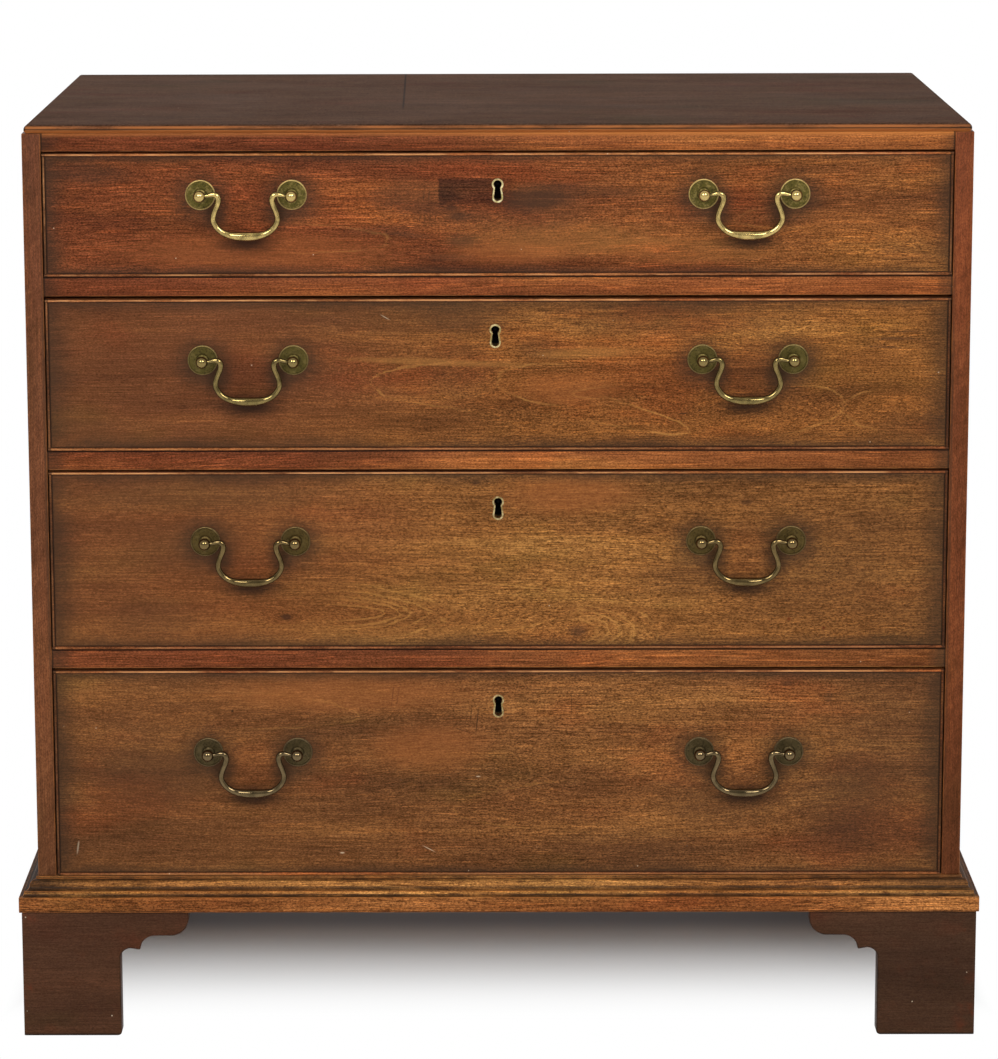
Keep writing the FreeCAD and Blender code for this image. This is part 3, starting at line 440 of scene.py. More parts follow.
def lenses(*list_of_lenses):
    """Lens shapes in the figure, deeper inside, with a fine pale line round their right-hand tip,
    or the left-hand one where the line is negative, in millimetres and degrees:
    (x, z, half length, half height, turn, deeper, line)."""
    def layer(wood, base):
        wander = wood.noise((13, 13, 34), (1, 2, 3), detail=6, roughness=0.72)
        broken = wood.band(wood.noise((30, 30, 90), (6, 2, 1), detail=4), 0.38, 0.54, 0.25, 1.0)
        for x, z, wide, high, turn, deeper, line in list_of_lenses:
            spread = wood.turned((x * MM, None, z * MM), (wide, None, high), turn)
            off_line = wood.scaled(wander, 0.5, wood.minus(wood.vector_sum("LENGTH", spread), 1.25))
            base = wood.tint(wood.band(off_line, 0.0, -0.25, 0, deeper), base, 0.80, 0.70, 0.68)
            steep = wood.vector_sum("MULTIPLY", spread, (1 / wide, 0, 1 / high))
            slope = wood.vector_sum("LENGTH", steep)
            distance = wood.unsigned(wood.sum("DIVIDE", off_line, slope))
            tip = wood.add("SeparateXYZ", {"Vector": spread}).outputs["X"]
            this_end = wood.band(tip, math.copysign(0.1, line), math.copysign(0.8, line), 0, abs(line))
            pale = wood.times(this_end, broken, wood.band(distance, 1.3, 0.3))
            base = wood.mix(pale, base, GOLDEN)
        return base
    return layer


def squared_stain(x, z, wide, high):
    """A dark square stain, sharp at its left and top, fading out to the right and below,
    in millimetres from its top left corner."""
    def layer(wood, base):
        from_left = wood.minus(wood.x, x * MM)
        from_top = wood.minus(z * MM, wood.z)
        ragged = wood.noise((70, 70, 260), (4, 4, 1), detail=3, roughness=0.6)
        from_left = wood.scaled(ragged, 3 * MM, wood.minus(from_left, 1.5 * MM))
        across = wood.times(wood.span(from_left, -1, 1.5), wood.span(from_left, wide, 0.5 * wide))
        down = wood.times(wood.span(from_top, -1, 2.5), wood.span(from_top, high, 0.55 * high))
        return wood.tint(wood.times(across, down), base, 0.30, 0.34, 0.50)
    return layer


def shade_and_dirt_in_hollows(*levels):
    """Painted shade, with some dirt, in the hollows of a moulding:
    (height, half width, share) in millimetres.
    """
    def layer(wood, base):
        patches = wood.noise((22, 22, 22), (2, 6, 4), detail=4, roughness=0.65)
        uneven = wood.band(patches, 0.34, 0.60, 0.55, 1.0)
        for height, reach, share in levels:
            # Painted shade with some dirt along each hollow.
            hollow = wood.blot((None, None, height * MM), (None, None, reach), soft=0.7)
            base = wood.mix(wood.times(hollow, share, uneven), base, SOOT_AND_SHADE)
        return base
    return layer


# Pieces made from the frame's own solids, and new pieces that stand for them.

def placed(name, data):
    """A new object in the scene."""
    thing = bpy.data.objects.new(name, data)
    bpy.context.scene.collection.objects.link(thing)
    return thing


def mesh_from(work, name):
    """The mesh that has been worked out, smooth but for its sharp edges."""
    for face in work.faces:
        face.smooth = True
    mesh = bpy.data.meshes.new(name)
    work.to_mesh(mesh)
    work.free()
    mesh.set_sharp_from_angle(angle=EDGE_ANGLE)
    return mesh


def new_piece(name, mesh, material, node):
    """A piece that stands for a node and rides its body."""
    piece = placed(name, mesh)
    mesh.materials.append(material)
    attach(piece, NODES[node]["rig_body"])
    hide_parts(node)


def softened(node, material, width, segments=2):
    """A copy of a node with its sharp edges rounded over; the rounded faces are marked as arris."""
    work = bmesh.new()
    work.from_mesh(NODES[node].data)
    bmesh.ops.remove_doubles(work, verts=work.verts, dist=SAME_POINT)
    bmesh.ops.dissolve_limit(work, angle_limit=FLAT_ANGLE, verts=work.verts, edges=work.edges)
    sharp = [edge for edge in work.edges
             if len(edge.link_faces) == 2 and edge.calc_face_angle() > EDGE_ANGLE]
    rounded = bmesh.ops.bevel(work, geom=sharp, offset=width, offset_type="OFFSET", affect="EDGES",
                              segments=segments, profile=0.5, material=-1, clamp_overlap=True)
    marked = set(rounded["faces"])
    arris = [1.0 if face in marked else 0.0 for face in work.faces]
    mesh = mesh_from(work, node + "_finished")
    mesh.attributes.new("arris", "FLOAT", "FACE").data.foreach_set("value", arris)
    new_piece(node + "_finished", mesh, material, node)


def dress(node, material):
    """Gives a node that shows as it is its finish."""
    NODES[node].data.materials.clear()
    NODES[node].data.materials.append(material)


# Carcase.

# How widely the arrises are rounded over.
BOARD_EDGE = 0.7 * MM
TOP_EDGE = 0.4 * MM
MOULDING_EDGE = 0.5 * MM
FOOT_EDGE = 1.5 * MM
NUT_EDGE = 0.5 * MM
LOCK_EDGE = 0.3 * MM

# Where the crack in the top lies at Y = 0, and how far it leans to the left for each metre of Y.
CRACK_X = -94.8 * MM
CRACK_SLANT = 0.0124

# How dark the painted shadow above each drawer is, and how far up the rail it reaches, in millimetres.
DRAWER_TOP_SHADOW = {1: (0.6, 1.6), 2: (0.95, 2.4), 3: (0.6, 1.4), 4: (0.9, 1.9)}


def dress_sides():
    left_tones = (76, 44, 27), (102, 61, 38), (124, 74, 44)
    right_tones = (90, 48, 27), (118, 64, 35), (144, 84, 44)

    def slanting_figure(wood, base):
        """Short slanting figure, darker towards the base and redder towards the top."""
        slanting = wood.turned((0, 0, 0), (40, 40, 7), -50)
        base = wood.shaded(base, wood.noise((1, 1, 1), detail=3, vector=slanting), 0.7)
        low_down = wood.span(wood.z, 420, 150, 0, 0.85)
        base = wood.tint(low_down, base, 0.76, 0.84, 0.88)
        return wood.tint(wood.span(wood.z, 620, 800, 0, 0.8), base, 1.08, 0.96, 0.88)

    for (word, side), tones in zip(SIDES, (left_tones, right_tones)):
        joint = marks((side * 440, 520, 3.0, 420, 0, GRIME_AND_SHADE, 0.5))
        stile = old_wood(f"mahogany_side_{word}", "z", tones, seed=2.3 + side, figure=0.6, grit=0.5,
                         pore=0.4, gold=0.2, layers=(slanting_figure, joint, patchy_arris(0.4)))
        softened(f"side_panel_{word}", stile, BOARD_EDGE)


def dress_rails():
    tones = (84, 41, 24), (118, 62, 34), (158, 90, 46)
    far_tones = (96, 50, 26), (134, 75, 38), (174, 108, 54)

    def shaded_edges(wood, base):
        """Rubbed bright under the top and duller below, lighter on the lower rails, with painted shadow
        in the gaps above and below each drawer's beads, and dark at the joints."""
        rubbed = wood.times(wood.span(wood.z, 895, 899.5), wood.band(wood.x, -0.15, 0.1, 0.35, 0.75))
        low_in_top_rail = wood.blot((None, None, 884 * MM), (None, None, 9), soft=0.6)
        on_left = wood.times(wood.band(wood.x, 0.0, -0.2), wood.band(wood.z, 0.5, 0.56))
        base = wood.tint(wood.larger(low_in_top_rail, on_left), base, 0.84, 0.82, 0.84)
        lower_rails = wood.times(wood.band(wood.x, -0.25, 0.1, 0.3, 1.0),
                                 wood.band(wood.z, 0.6, 0.55, 0.3, 1.0), wood.band(wood.z, 0.72, 0.66))
        base = wood.tint(lower_rails, base, 1.10, 1.28, 1.22)
        base = wood.mix(rubbed, base, colour(188, 114, 54))
        for number, (dark, reach) in DRAWER_TOP_SHADOW.items():
            low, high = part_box(f"drawer_{number}_cock_beads")
            # Painted shadow in the gaps below and above the beads.
            for gap, fade, depth, share in ((wood.minus(low.z, wood.z), 0.6, 1.4, 0.9),
                                            (wood.minus(wood.z, high.z), 0.4, reach, dark)):
                inside = wood.span(gap, depth + fade, depth)
                inside = wood.times(inside, wood.span(gap, -2, 0), share)
                base = wood.mix(inside, base, GAP_SHADOW)
        return wood.mix(wood.span(wood.unsigned(wood.x), 436.5, 438, 0, 0.8), base, SOOT_AND_SHADE)

    ends = marks((-440, 520, 26, 900, 0, GRIME_AND_SHADE, 0.6), (440, 520, 22, 900, 0, GRIME_AND_SHADE, 0.6))
    rails = old_wood("mahogany_rail", "x", tones, far_tones, seed=7.7, figure=0.6, grit=0.8,
                     gold=0.9, hues=0.6, drawn=0.4,
                     layers=(ends, patchy_arris(0.7, colour(182, 116, 66)), shaded_edges))
    softened("top_front_rail", rails, BOARD_EDGE)
    softened("drawer_dividers", rails, BOARD_EDGE)


def dress_top():
    tones = (64, 44, 32), (82, 57, 42), (98, 68, 50)
    low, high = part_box("top_board")

    def crack_and_dust(wood, base):
        """A fine crack across the back half, and dust on the left."""
        off_crack = wood.scaled(wood.y, CRACK_SLANT, wood.minus(wood.x, CRACK_X))
        line = wood.times(wood.span(wood.unsigned(off_crack), 1.5, 0.5, 0, 0.8),
                          wood.span(wood.y, -130, -60))
        base = wood.mix(line, base, SOOT_AND_SHADE)
        dusty = wood.blot((-300 * MM, -80 * MM, None), (130, 110, None), soft=1.0)
        flecks = wood.specks((160, 60, 160), (5, 3, 1), 0.10, 0.12)
        return wood.mix(wood.times(dusty, 0.6, flecks), base, DUST)

    def top_edges(wood, base):
        """Worn bright along the front's rounded edge, with a dark line along it and dark at the other
        edges, and painted light in the recess below, which lightens its own shade."""
        in_front = wood.minus(wood.y, low.y)
        below = wood.minus(high.z, wood.z)
        patches = wood.noise((9, 60, 60), (3, 1, 2), detail=5, roughness=0.7)
        worn = wood.times(wood.span(in_front, 1.6, 0.6), wood.band(patches, 0.40, 0.58, 0.35, 1.0), 0.85)
        base = wood.mix(worn, base, colour(176, 108, 60))
        edge_line = wood.blot((None, None, high.z - 4.5 * MM), (None, None, 1.1), soft=0.6)
        front_face = wood.span(in_front, 2.5, 1.5)
        base = wood.mix(wood.times(edge_line, front_face, 0.75), base, SOOT_AND_SHADE)
        other = wood.sum("MINIMUM", wood.minus(high.y, wood.y), inset(wood, low, high, "x"))
        base = wood.mix(wood.span(other, 2.2, 1.2, 0, 0.85), base, SOOT_AND_SHADE)
        # Painted light: the recess is lightened against its own shade.
        lit_recess = wood.span(below, 5.4, 6.0)
        return wood.mix(lit_recess, base, colour(158, 94, 48))

    top = old_wood("mahogany_top", "x", tones, seed=11.9, figure=0.35, grit=0.9, pore=0.2, gold=0.1,
                   polish=0.02, dull=0.75, layers=(crack_and_dust, top_edges))
    softened("top_board", top, TOP_EDGE)


def dress_moulding():
    hollows = shade_and_dirt_in_hollows((159.0, 3.0, 0.8), (150.4, 2.6, 0.8), (144.6, 1.8, 0.9), (128.5, 1.5, 0.7))
    tones = (104, 60, 32), (156, 102, 52), (208, 148, 80)
    ends = marks((-468, 154, 70, 14, 0, SOOT_AND_SHADE, 0.8), (470, 154, 130, 14, 0, GRIME_AND_SHADE, 0.6))

    def dull_fascia(wood, base):
        """The flat face under the moulding is duller."""
        return wood.tint(wood.span(wood.z, 145, 142, 0, 0.9), base, 0.60, 0.48, 0.50)

    for word, grain in (("front", "x"), ("left", "y"), ("right", "y")):
        moulding = old_wood(f"mahogany_moulding_{word}", grain, tones, seed=4.1, pore=0.9, gold=0.7,
                            drawn=0.6, layers=(dull_fascia, hollows, ends, patchy_arris(0.8)))
        softened(f"base_moulding_{word}", moulding, MOULDING_EDGE)


def dress_feet():
    tones = (60, 37, 25), (76, 49, 33), (94, 58, 38)

    def foot_wear(wood, base):
        """Scuffed red towards its outer end, with pale chips, duller on the right-hand feet and dark
        along the floor."""
        scuffs = wood.noise((26, 26, 26), (4, 2, 7), detail=5, roughness=0.7)
        outer = wood.span(wood.unsigned(wood.x), 445, 466, 0.25, 1.0)
        base = wood.mix(wood.times(wood.band(scuffs, 0.52, 0.70, 0, 0.5), outer), base, SCUFF)
        base = wood.tint(wood.band(wood.x, 0.0, 0.3), base, 0.80, 0.88, 0.92)
        chips = wood.specks((83, 71, 77), (2, 8, 5), 0.06, 0.10)
        base = wood.mix(wood.times(chips, 0.75), base, DUST)
        return wood.mix(wood.span(wood.z, 4, 1, 0, 0.8), base, SOOT_AND_SHADE)

    foot = old_wood("mahogany_foot", "x", tones, seed=9.2, figure=0.4, grit=0.4, pore=0.15, gold=0.05,
                    layers=(foot_wear, patchy_arris(0.6, SOOT_AND_SHADE)))
    for corner in ("front_left", "front_right", "back_left", "back_right"):
        softened(f"foot_{corner}", foot, FOOT_EDGE, segments=3)


def dress_inside():
    pine_tones = (122, 83, 52), (152, 108, 68), (178, 132, 86)
    lining_tones = (150, 103, 65), (176, 128, 85), (200, 153, 107)
    plain = {"grit": 0.5, "pore": 0.25, "gold": 0.2, "hues": 0.25, "drawn": 0.6, "dull": 0.75}
    low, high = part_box("back_boards")

    def plank_joints(wood, base):
        """Each back plank is a little lighter or darker than the next, and dark along its joints."""
        plank_width = (high.x - low.x) / BACK_PLANKS
        along_back = wood.sum("DIVIDE", wood.minus(wood.x, low.x), plank_width)
        plank = wood.sum("FLOOR", along_back)
        plank = wood.add("TexWhiteNoise", {"W": plank}, noise_dimensions="1D")
        base = wood.shaded(base, plank.outputs["Value"], 0.35)
        to_joint = wood.sum("PINGPONG", along_back, 0.5)
        return wood.mix(wood.band(to_joint, 0.022, 0.004, 0, 0.75), base, SOOT_AND_SHADE)

    pine = old_wood("aged_pine", "x", pine_tones, seed=3.3, **plain)
    planks = old_wood("aged_pine_planks", "z", pine_tones, seed=6.1, layers=(plank_joints,), **plain)
    lining = old_wood("drawer_lining", "y", lining_tones, seed=8.8, **plain)
    lining_back = old_wood("drawer_lining_back", "x", lining_tones, seed=9.8, **plain)
    for node in ("sub_top", "dustboards", "bottom_board", "drawer_stops", "base_frame", "glue_blocks"):
        dress(node, pine)
    dress("drawer_runners", lining)
    dress("back_boards", planks)
    for number in DRAWERS:
        dress(f"drawer_{number}_sides", lining)
        dress(f"drawer_{number}_back", lining_back)
        dress(f"drawer_{number}_bottom", lining)


# Drawers.

# Each front's tones, dark to light: at its left end, and at its right.
FRONT_TONES = {
    1: (((77, 37, 21), (118, 62, 32), (161, 93, 43)),
        ((89, 50, 26), (132, 81, 39), (172, 116, 56))),
    2: (((73, 41, 24), (108, 64, 36), (143, 89, 45)),
        ((93, 56, 27), (133, 83, 39), (178, 124, 62))),
    3: (((79, 43, 24), (118, 70, 37), (147, 97, 50)),
        ((89, 56, 29), (132, 85, 42), (170, 120, 62))),
    4: (((73, 44, 26), (108, 68, 37), (143, 93, 49)),
        ((81, 52, 30), (118, 75, 40), (153, 103, 54))),
}
FRONT_WOOD = {
    1: {"crossing": (0.12, 0.30), "figure": 0.72, "gold": 0.8, "veiled": 0.0},
    2: {"crossing": (-0.12, 0.16), "figure": 0.6, "gold": 0.6, "veiled": 0.45},
    3: {"crossing": (-0.14, 0.14), "figure": 0.5, "gold": 0.4, "veiled": 0.4},
    4: {"crossing": (-0.05, 0.40), "figure": 0.6, "gold": 0.5, "veiled": 0.3},
}
# How far the darkening reaches in from a front's edges, in millimetres.
BORDER = {1: 9, 2: 12, 3: 12, 4: 10}
# How much of the upper bead's rub and painted highlight the lower bead has.
LOWER_BEAD = {1: 0.7, 2: 0.45, 3: 0.4, 4: 0.4}

# Where the grain lifts or dips: (x, z, half length, half height, rise) in millimetres.
SWIRLS = {
    1: ((-40, 815, 90, 30, 10), (330, 800, 120, 26, -8)),
    2: ((-90, 662, 110, 34, 16), (100, 640, 150, 36, -14), (230, 625, 90, 30, 16),
        (380, 640, 90, 30, -16), (300, 700, 120, 24, 10)),
    3: ((-90, 424, 120, 26, 16), (90, 415, 90, 34, -18), (-208, 424, 30, 12, 10),
        (300, 440, 150, 40, 12), (-22, 558, 22, 9, 7)),
    4: ((-330, 300, 90, 60, 10), (120, 260, 160, 60, 12), (330, 230, 110, 50, -12)),
}

# Each row is as marks takes it.
FRONT_MARKS = {
    1: ((-36, 819, 18, 6, 0, STAIN, 0.65), (-33, 796, 22, 9, 0, STAIN, 0.55),
        (-108, 806, 60, 7, -4, STAIN, 0.3), (-395, 860, 60, 14, 0, STAIN, 0.5),
        (-230, 785, 190, 26, 0, WARM, 0.3), (-80, 838, 60, 26, 0, STAIN, 0.5),
        (36, 837, 56, 18, -5, STAIN, 0.78), (85, 845, 80, 9, 4, STAIN, 0.4),
        (60, 797, 130, 24, 0, GOLDEN, 0.16), (190, 786, 110, 20, 0, GOLDEN, 0.12),
        (20, 818, 70, 24, 0, STAIN, 0.25), (-40, 818, 60, 20, 0, STAIN, 0.3),
        (-44, 827, 11, 4, 4, STAIN, 0.5), (-85, 801, 28, 4, 5, STAIN, 0.5),
        (-45, 779, 36, 6, 0, STAIN, 0.45), (50, 826, 60, 26, 0, STAIN, 0.25),
        (215, 820, 90, 20, 0, STAIN, 0.2), (-215, 824, 70, 18, 0, STAIN, 0.22),
        (10, 783, 80, 16, 0, WARM, 0.3), (405, 783, 60, 20, 0, STAIN, 0.3),
        *((x, 839, 1.0, 8, 4, STAIN, 0.6) for x in (-71, -66)),
        *((x, 817, 0.8, 5, 8, SCRATCH, 0.5) for x in (-75, -70, -65, -60))),
    2: ((381, 699, 34, 2.2, 0, STAIN, 0.6), (372, 691, 26, 1.6, 2, STAIN, 0.6),
        (392, 706, 24, 1.5, -2, STAIN, 0.5), (-109, 721, 7, 0.7, 30, PALE, 0.7),
        (180, 626, 6, 1.4, 0, KNOT, 0.8), (196, 629, 3, 1.2, 0, KNOT, 0.7),
        (40, 690, 30, 16, 0, STAIN, 0.3), (-35, 724, 60, 26, 0, STAIN, 0.42),
        (-100, 722, 170, 26, 0, STAIN, 0.36), (160, 722, 190, 28, 0, STAIN, 0.4),
        (-35, 668, 50, 50, 0, STAIN, 0.22), (258, 665, 56, 56, 0, STAIN, 0.34),
        (70, 650, 70, 22, 0, WARM, 0.3), (-405, 612, 60, 22, 0, STAIN, 0.3),
        (405, 612, 60, 22, 0, STAIN, 0.3), (-60, 677, 120, 5, 2, GOLDEN, 0.22),
        (87, 686, 66, 8, -2, GOLDEN, 0.22)),
    3: ((400, 480, 90, 130, 0, STAIN, 0.25), (-400, 480, 100, 130, 0, STAIN, 0.2),
        (-290, 550, 180, 30, 0, STAIN, 0.42), (290, 478, 110, 80, 0, STAIN, 0.34),
        (185, 463, 60, 26, 0, STAIN, 0.34), (70, 546, 90, 30, 0, WARM, 0.35),
        (-290, 496, 90, 44, 0, STAIN, 0.36), (-335, 422, 60, 30, 0, STAIN, 0.28),
        (-208, 424, 8, 4.5, 0, KNOT, 0.75), (-22, 558, 7, 3.5, 0, KNOT, 0.7),
        (78, 409, 13, 8, 0, STAIN, 0.7), (242, 538, 8, 4, 0, KNOT, 0.6),
        (285, 421, 2.2, 2.2, 0, RED_SPOT, 0.8), (319, 412, 2.0, 2.0, 0, RED_SPOT, 0.8),
        (46, 451, 2.0, 2.6, 0, RED_SPOT, 0.6)),
    4: ((-104, 345, 0.7, 17, 7, SCRATCH, 0.8), (-99, 343, 0.7, 15, 10, SCRATCH, 0.7),
        (-21, 318, 0.8, 19, 6, SCRATCH, 0.8), (-27, 326, 0.7, 12, 3, SCRATCH, 0.6),
        (-35, 309, 15, 0.7, 18, SCRATCH, 0.7), (72, 336, 0.6, 17, 0, SCRATCH, 0.55),
        (27, 355, 0.7, 7, -30, SCRATCH, 0.6), (219, 337, 8, 0.7, 28, SCRATCH, 0.6),
        (284, 356, 10, 4, 0, STAIN, 0.45), (325, 342, 6, 9, 10, STAIN, 0.4),
        (329, 296, 4, 14, 0, STAIN, 0.35), (274, 303, 4, 14, 6, STAIN, 0.35),
        (395, 270, 110, 150, 0, STAIN, 0.42), (-150, 348, 180, 28, 0, WARM, 0.3),
        (230, 240, 100, 46, 0, STAIN, 0.46), (345, 240, 70, 60, 0, STAIN, 0.4),
        (-345, 262, 90, 56, 0, STAIN, 0.44), (-70, 292, 80, 34, 0, WARM, 0.3),
        (130, 192, 120, 30, 0, STAIN, 0.28), (330, 192, 60, 30, 0, STAIN, 0.26),
        (-417, 190, 1.2, 9, 8, PALE, 0.45), (-69, 188, 9, 0.6, 28, PALE, 0.7),
        (-155, 184, 3, 1.0, 0, PALE, 0.8), (-262, 329, 1.8, 1.8, 0, SOOT_AND_SHADE, 0.8),
        (-20, 262, 3, 0.8, 0, PALE, 0.7), (-5, 296, 14, 0.7, -45, SCRATCH, 0.4)),
}

# Each row is as lenses takes it.
FRONT_LENSES = {
    1: ((-250, 800, 150, 16, 2, 0.25, 0.2), (330, 822, 100, 14, -3, 0.0, -0.2)),
    2: ((10, 651, 130, 25, 3, 0.45, -0.35), (96, 650, 102, 21, 6, 0.0, -0.4),
        (120, 647, 46, 6, -2, 0.8, -0.2), (60, 640, 124, 14, 14, 0.0, 0.4),
        (250, 626, 90, 26, -8, 0.25, 0.3), (392, 628, 60, 22, 4, 0.25, -0.3)),
    3: (*((-192, 428, 84 + reach, 9 + reach / 3, 0, 0.12, 0.4) for reach in (0, 15, 24, 41, 62)),
        (-110, 428, 190, 28, -3, 0.0, 0.4),
        *((40, 408, 56 + reach, 18 + reach / 2.5, 0, 0.08, 0.4) for reach in (0, 9, 20, 34, 56))),
    4: ((-300, 330, 160, 20, 2, 0.25, 0.2), (150, 232, 190, 30, 0, 0.2, -0.2)),
}


def lit_and_rubbed_nose(number, bottom):
    """A bead with a thin pale line along its nose, rubbed polish and also a painted highlight: pale and
    broken along the top, duller along the bottom and where it stands upright, and painted shade along
    its root."""
    def layer(wood, base):
        out_of_front = wood.band(wood.y, FRONT_PLANE + 1.5 * MM, FRONT_PLANE + 0.4 * MM)
        root = wood.band(wood.y, FRONT_PLANE - 1.7 * MM, FRONT_PLANE - 1.1 * MM, 0, 0.85)
        along_bottom = wood.span(wood.minus(wood.z, bottom), 4.5, 3.5)
        root = wood.times(root, wood.scaled(along_bottom, -0.35, 1.0), out_of_front)
        right_hand = wood.span(wood.x, 400, 430, 1.0, 0.4)
        nose = wood.band(wood.y, FRONT_PLANE - 1.68 * MM, FRONT_PLANE - 1.97 * MM)
        patches = wood.noise((8, 8, 8), (3, 1, 2), detail=5, roughness=0.7)
        upright = wood.span(wood.unsigned(wood.x), 434.2, 434.8)
        low_down = wood.span(wood.z, 780, 700, 0.9, 0.25)
        level = wood.scaled(wood.times(upright, low_down), 0.7, wood.scaled(upright, -1.0, 1.0))
        lower_bead = wood.scaled(along_bottom, LOWER_BEAD[number] - 1, 1.0)
        rub = wood.times(level, right_hand, lower_bead, wood.band(patches, 0.42, 0.60, 0.12, 1.0))
        base = wood.mix(wood.times(upright, out_of_front, 0.7), base, SOOT_AND_SHADE)
        # Painted shade along the bead's root.
        base = wood.mix(root, base, SOOT_AND_SHADE)
        # The pale nose line is rubbed polish and also a painted highlight, strongest on the upper beads.
        return wood.mix(wood.times(nose, rub), base, colour(200, 142, 92))
    return layer


def dress_drawers():
    bead_tones = (86, 48, 27), (120, 68, 36), (160, 96, 48)
    for number in DRAWERS:
        name = f"drawer_{number}"
        low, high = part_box(name + "_front")
        layers = [lenses(*FRONT_LENSES[number]), marks(*FRONT_MARKS[number])]
        if number == 1:
            layers.append(squared_stain(-57, 857, 86, 34))
        layers.append(dark_border_and_bead_shadow(low, high, BORDER[number] * MM))
        layers.append(handle_shadows(HANDLE_HEIGHT[number]))
        front = old_wood(f"mahogany_{name}_front", "x", *FRONT_TONES[number], seed=number * 13.7,
                         swirls=SWIRLS[number], layers=(on_the_face(*layers),), **FRONT_WOOD[number])
        dress(name + "_front", front)
        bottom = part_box(name + "_cock_beads")[0].z
        bead = old_wood(f"mahogany_{name}_bead", "x", bead_tones, seed=number + 0.7,
                        layers=(lit_and_rubbed_nose(number, bottom),))
        dress(name + "_cock_beads", bead)


# Brass.

# Each drawer's brass: its patina, where it is rubbed, how rough it is, and its share of bare metal.
BRASS = {
    1: (colour(86, 76, 26), colour(200, 172, 106), 0.14, 0.75),
    2: (colour(82, 71, 28), colour(138, 118, 70), 0.11, 0.8),
    3: (colour(82, 66, 30), colour(118, 98, 60), 0.10, 0.85),
    4: (colour(72, 60, 34), colour(112, 94, 64), 0.10, 0.85),
}
TARNISH = colour(50, 40, 22)

# Each keyhole's edging: its patina, and where it is rubbed.
EDGING = {
    1: (colour(168, 148, 92), colour(246, 232, 182)),
    2: (colour(156, 136, 84), colour(232, 214, 160)),
    3: (colour(140, 118, 72), colour(212, 192, 142)),
    4: (colour(140, 118, 72), colour(212, 192, 142)),
}

# Half of a bail, from its left-hand knob to the middle of its grip: across from the middle, down
# from the pins, and the rod's radius, in millimetres.
SWAN_NECK = ((-41.4, 0.0, 1.6), (-38.8, -0.5, 1.8), (-36.2, -0.9, 2.0), (-31.2, -2.0, 2.5),
             (-27.6, -1.2, 2.85), (-25.8, 1.7, 2.9), (-26.1, 6.1, 2.85), (-28.9, 13.5, 2.65),
             (-30.8, 19.9, 2.7), (-30.6, 24.0, 2.8), (-29.2, 27.2, 2.85), (-26.5, 30.9, 2.9),
             (-22.2, 34.4, 3.0), (-16.8, 36.8, 3.2), (-11.0, 38.0, 3.8), (-5.5, 38.5, 4.2),
             (0.0, 38.5, 4.3))

# Outline of a knob's neck, its rose and its shank: radius, and stand in front of the drawer, in
# millimetres.
POST_OUTLINE = ((3.0, 8.4), (3.1, 5.4), (3.9, 4.2), (5.4, 3.7), (5.5, 2.9), (5.9, 2.1),
                (6.6, 1.35), (12.4, 1.15), (13.0, 1.2), (13.3, 1.75), (13.8, 2.1), (14.3, 1.9),
                (14.6, 1.3), (14.6, 0.3), (14.2, 0.0), (2.5, 0.0), (2.5, -27.7), (2.2, -28.0),
                (0.0, -28.0))
POST_SIDES = 40
KNOB_RADIUS = 5.96
# How far past its widest place a knob's round goes on towards its neck, in degrees.
KNOB_ROUND = 55.5
KNOB_STEPS = 14
# A nut's size along each axis, and how far its middle lies behind the drawer's front.
NUT = (10 * MM, 3 * MM, 10 * MM)
NUT_BEHIND = 21.5 * MM
# How far a keyhole lies below the top of its lock, and a lock's back behind the drawer's front.
KEYHOLE_DROP = 30.9 * MM
LOCK_BACK = 19 * MM


def front_rub(metal, stand, thickness):
    """1 on the side that hands rub, towards the front, and 0 on the sides and the back."""
    middle = FRONT_PLANE - stand
    return metal.band(metal.y, middle - 0.3 * thickness, middle - 0.95 * thickness)


def rod_brass(name, patina, rubbed, rough, bare):
    """Cast brass, dark where it is never touched and rubbed paler along the front."""
    metal = Finish(name)
    cloudy = metal.noise((90, 90, 90), (5, 2, 1), detail=4, roughness=0.6)
    spots = metal.noise((900, 900, 900), (1, 4, 2), detail=2, roughness=0.6)
    touched = front_rub(metal, KNOB_STAND, 2.6 * MM)
    share = metal.times(touched, metal.band(cloudy, 0.34, 0.62, 0.45, 1))
    base = metal.mix(share, metal.mix(0.6, patina, TARNISH), rubbed)
    base = metal.tint(metal.band(spots, 0.58, 0.70, 0, 0.35), base, 0.55, 0.52, 0.48)
    roughness = metal.scaled(cloudy, 0.16, rough - 0.08)
    return metal.finish(base, roughness, 0.5, bump=spots, height=0.015 * MM, metallic=bare)


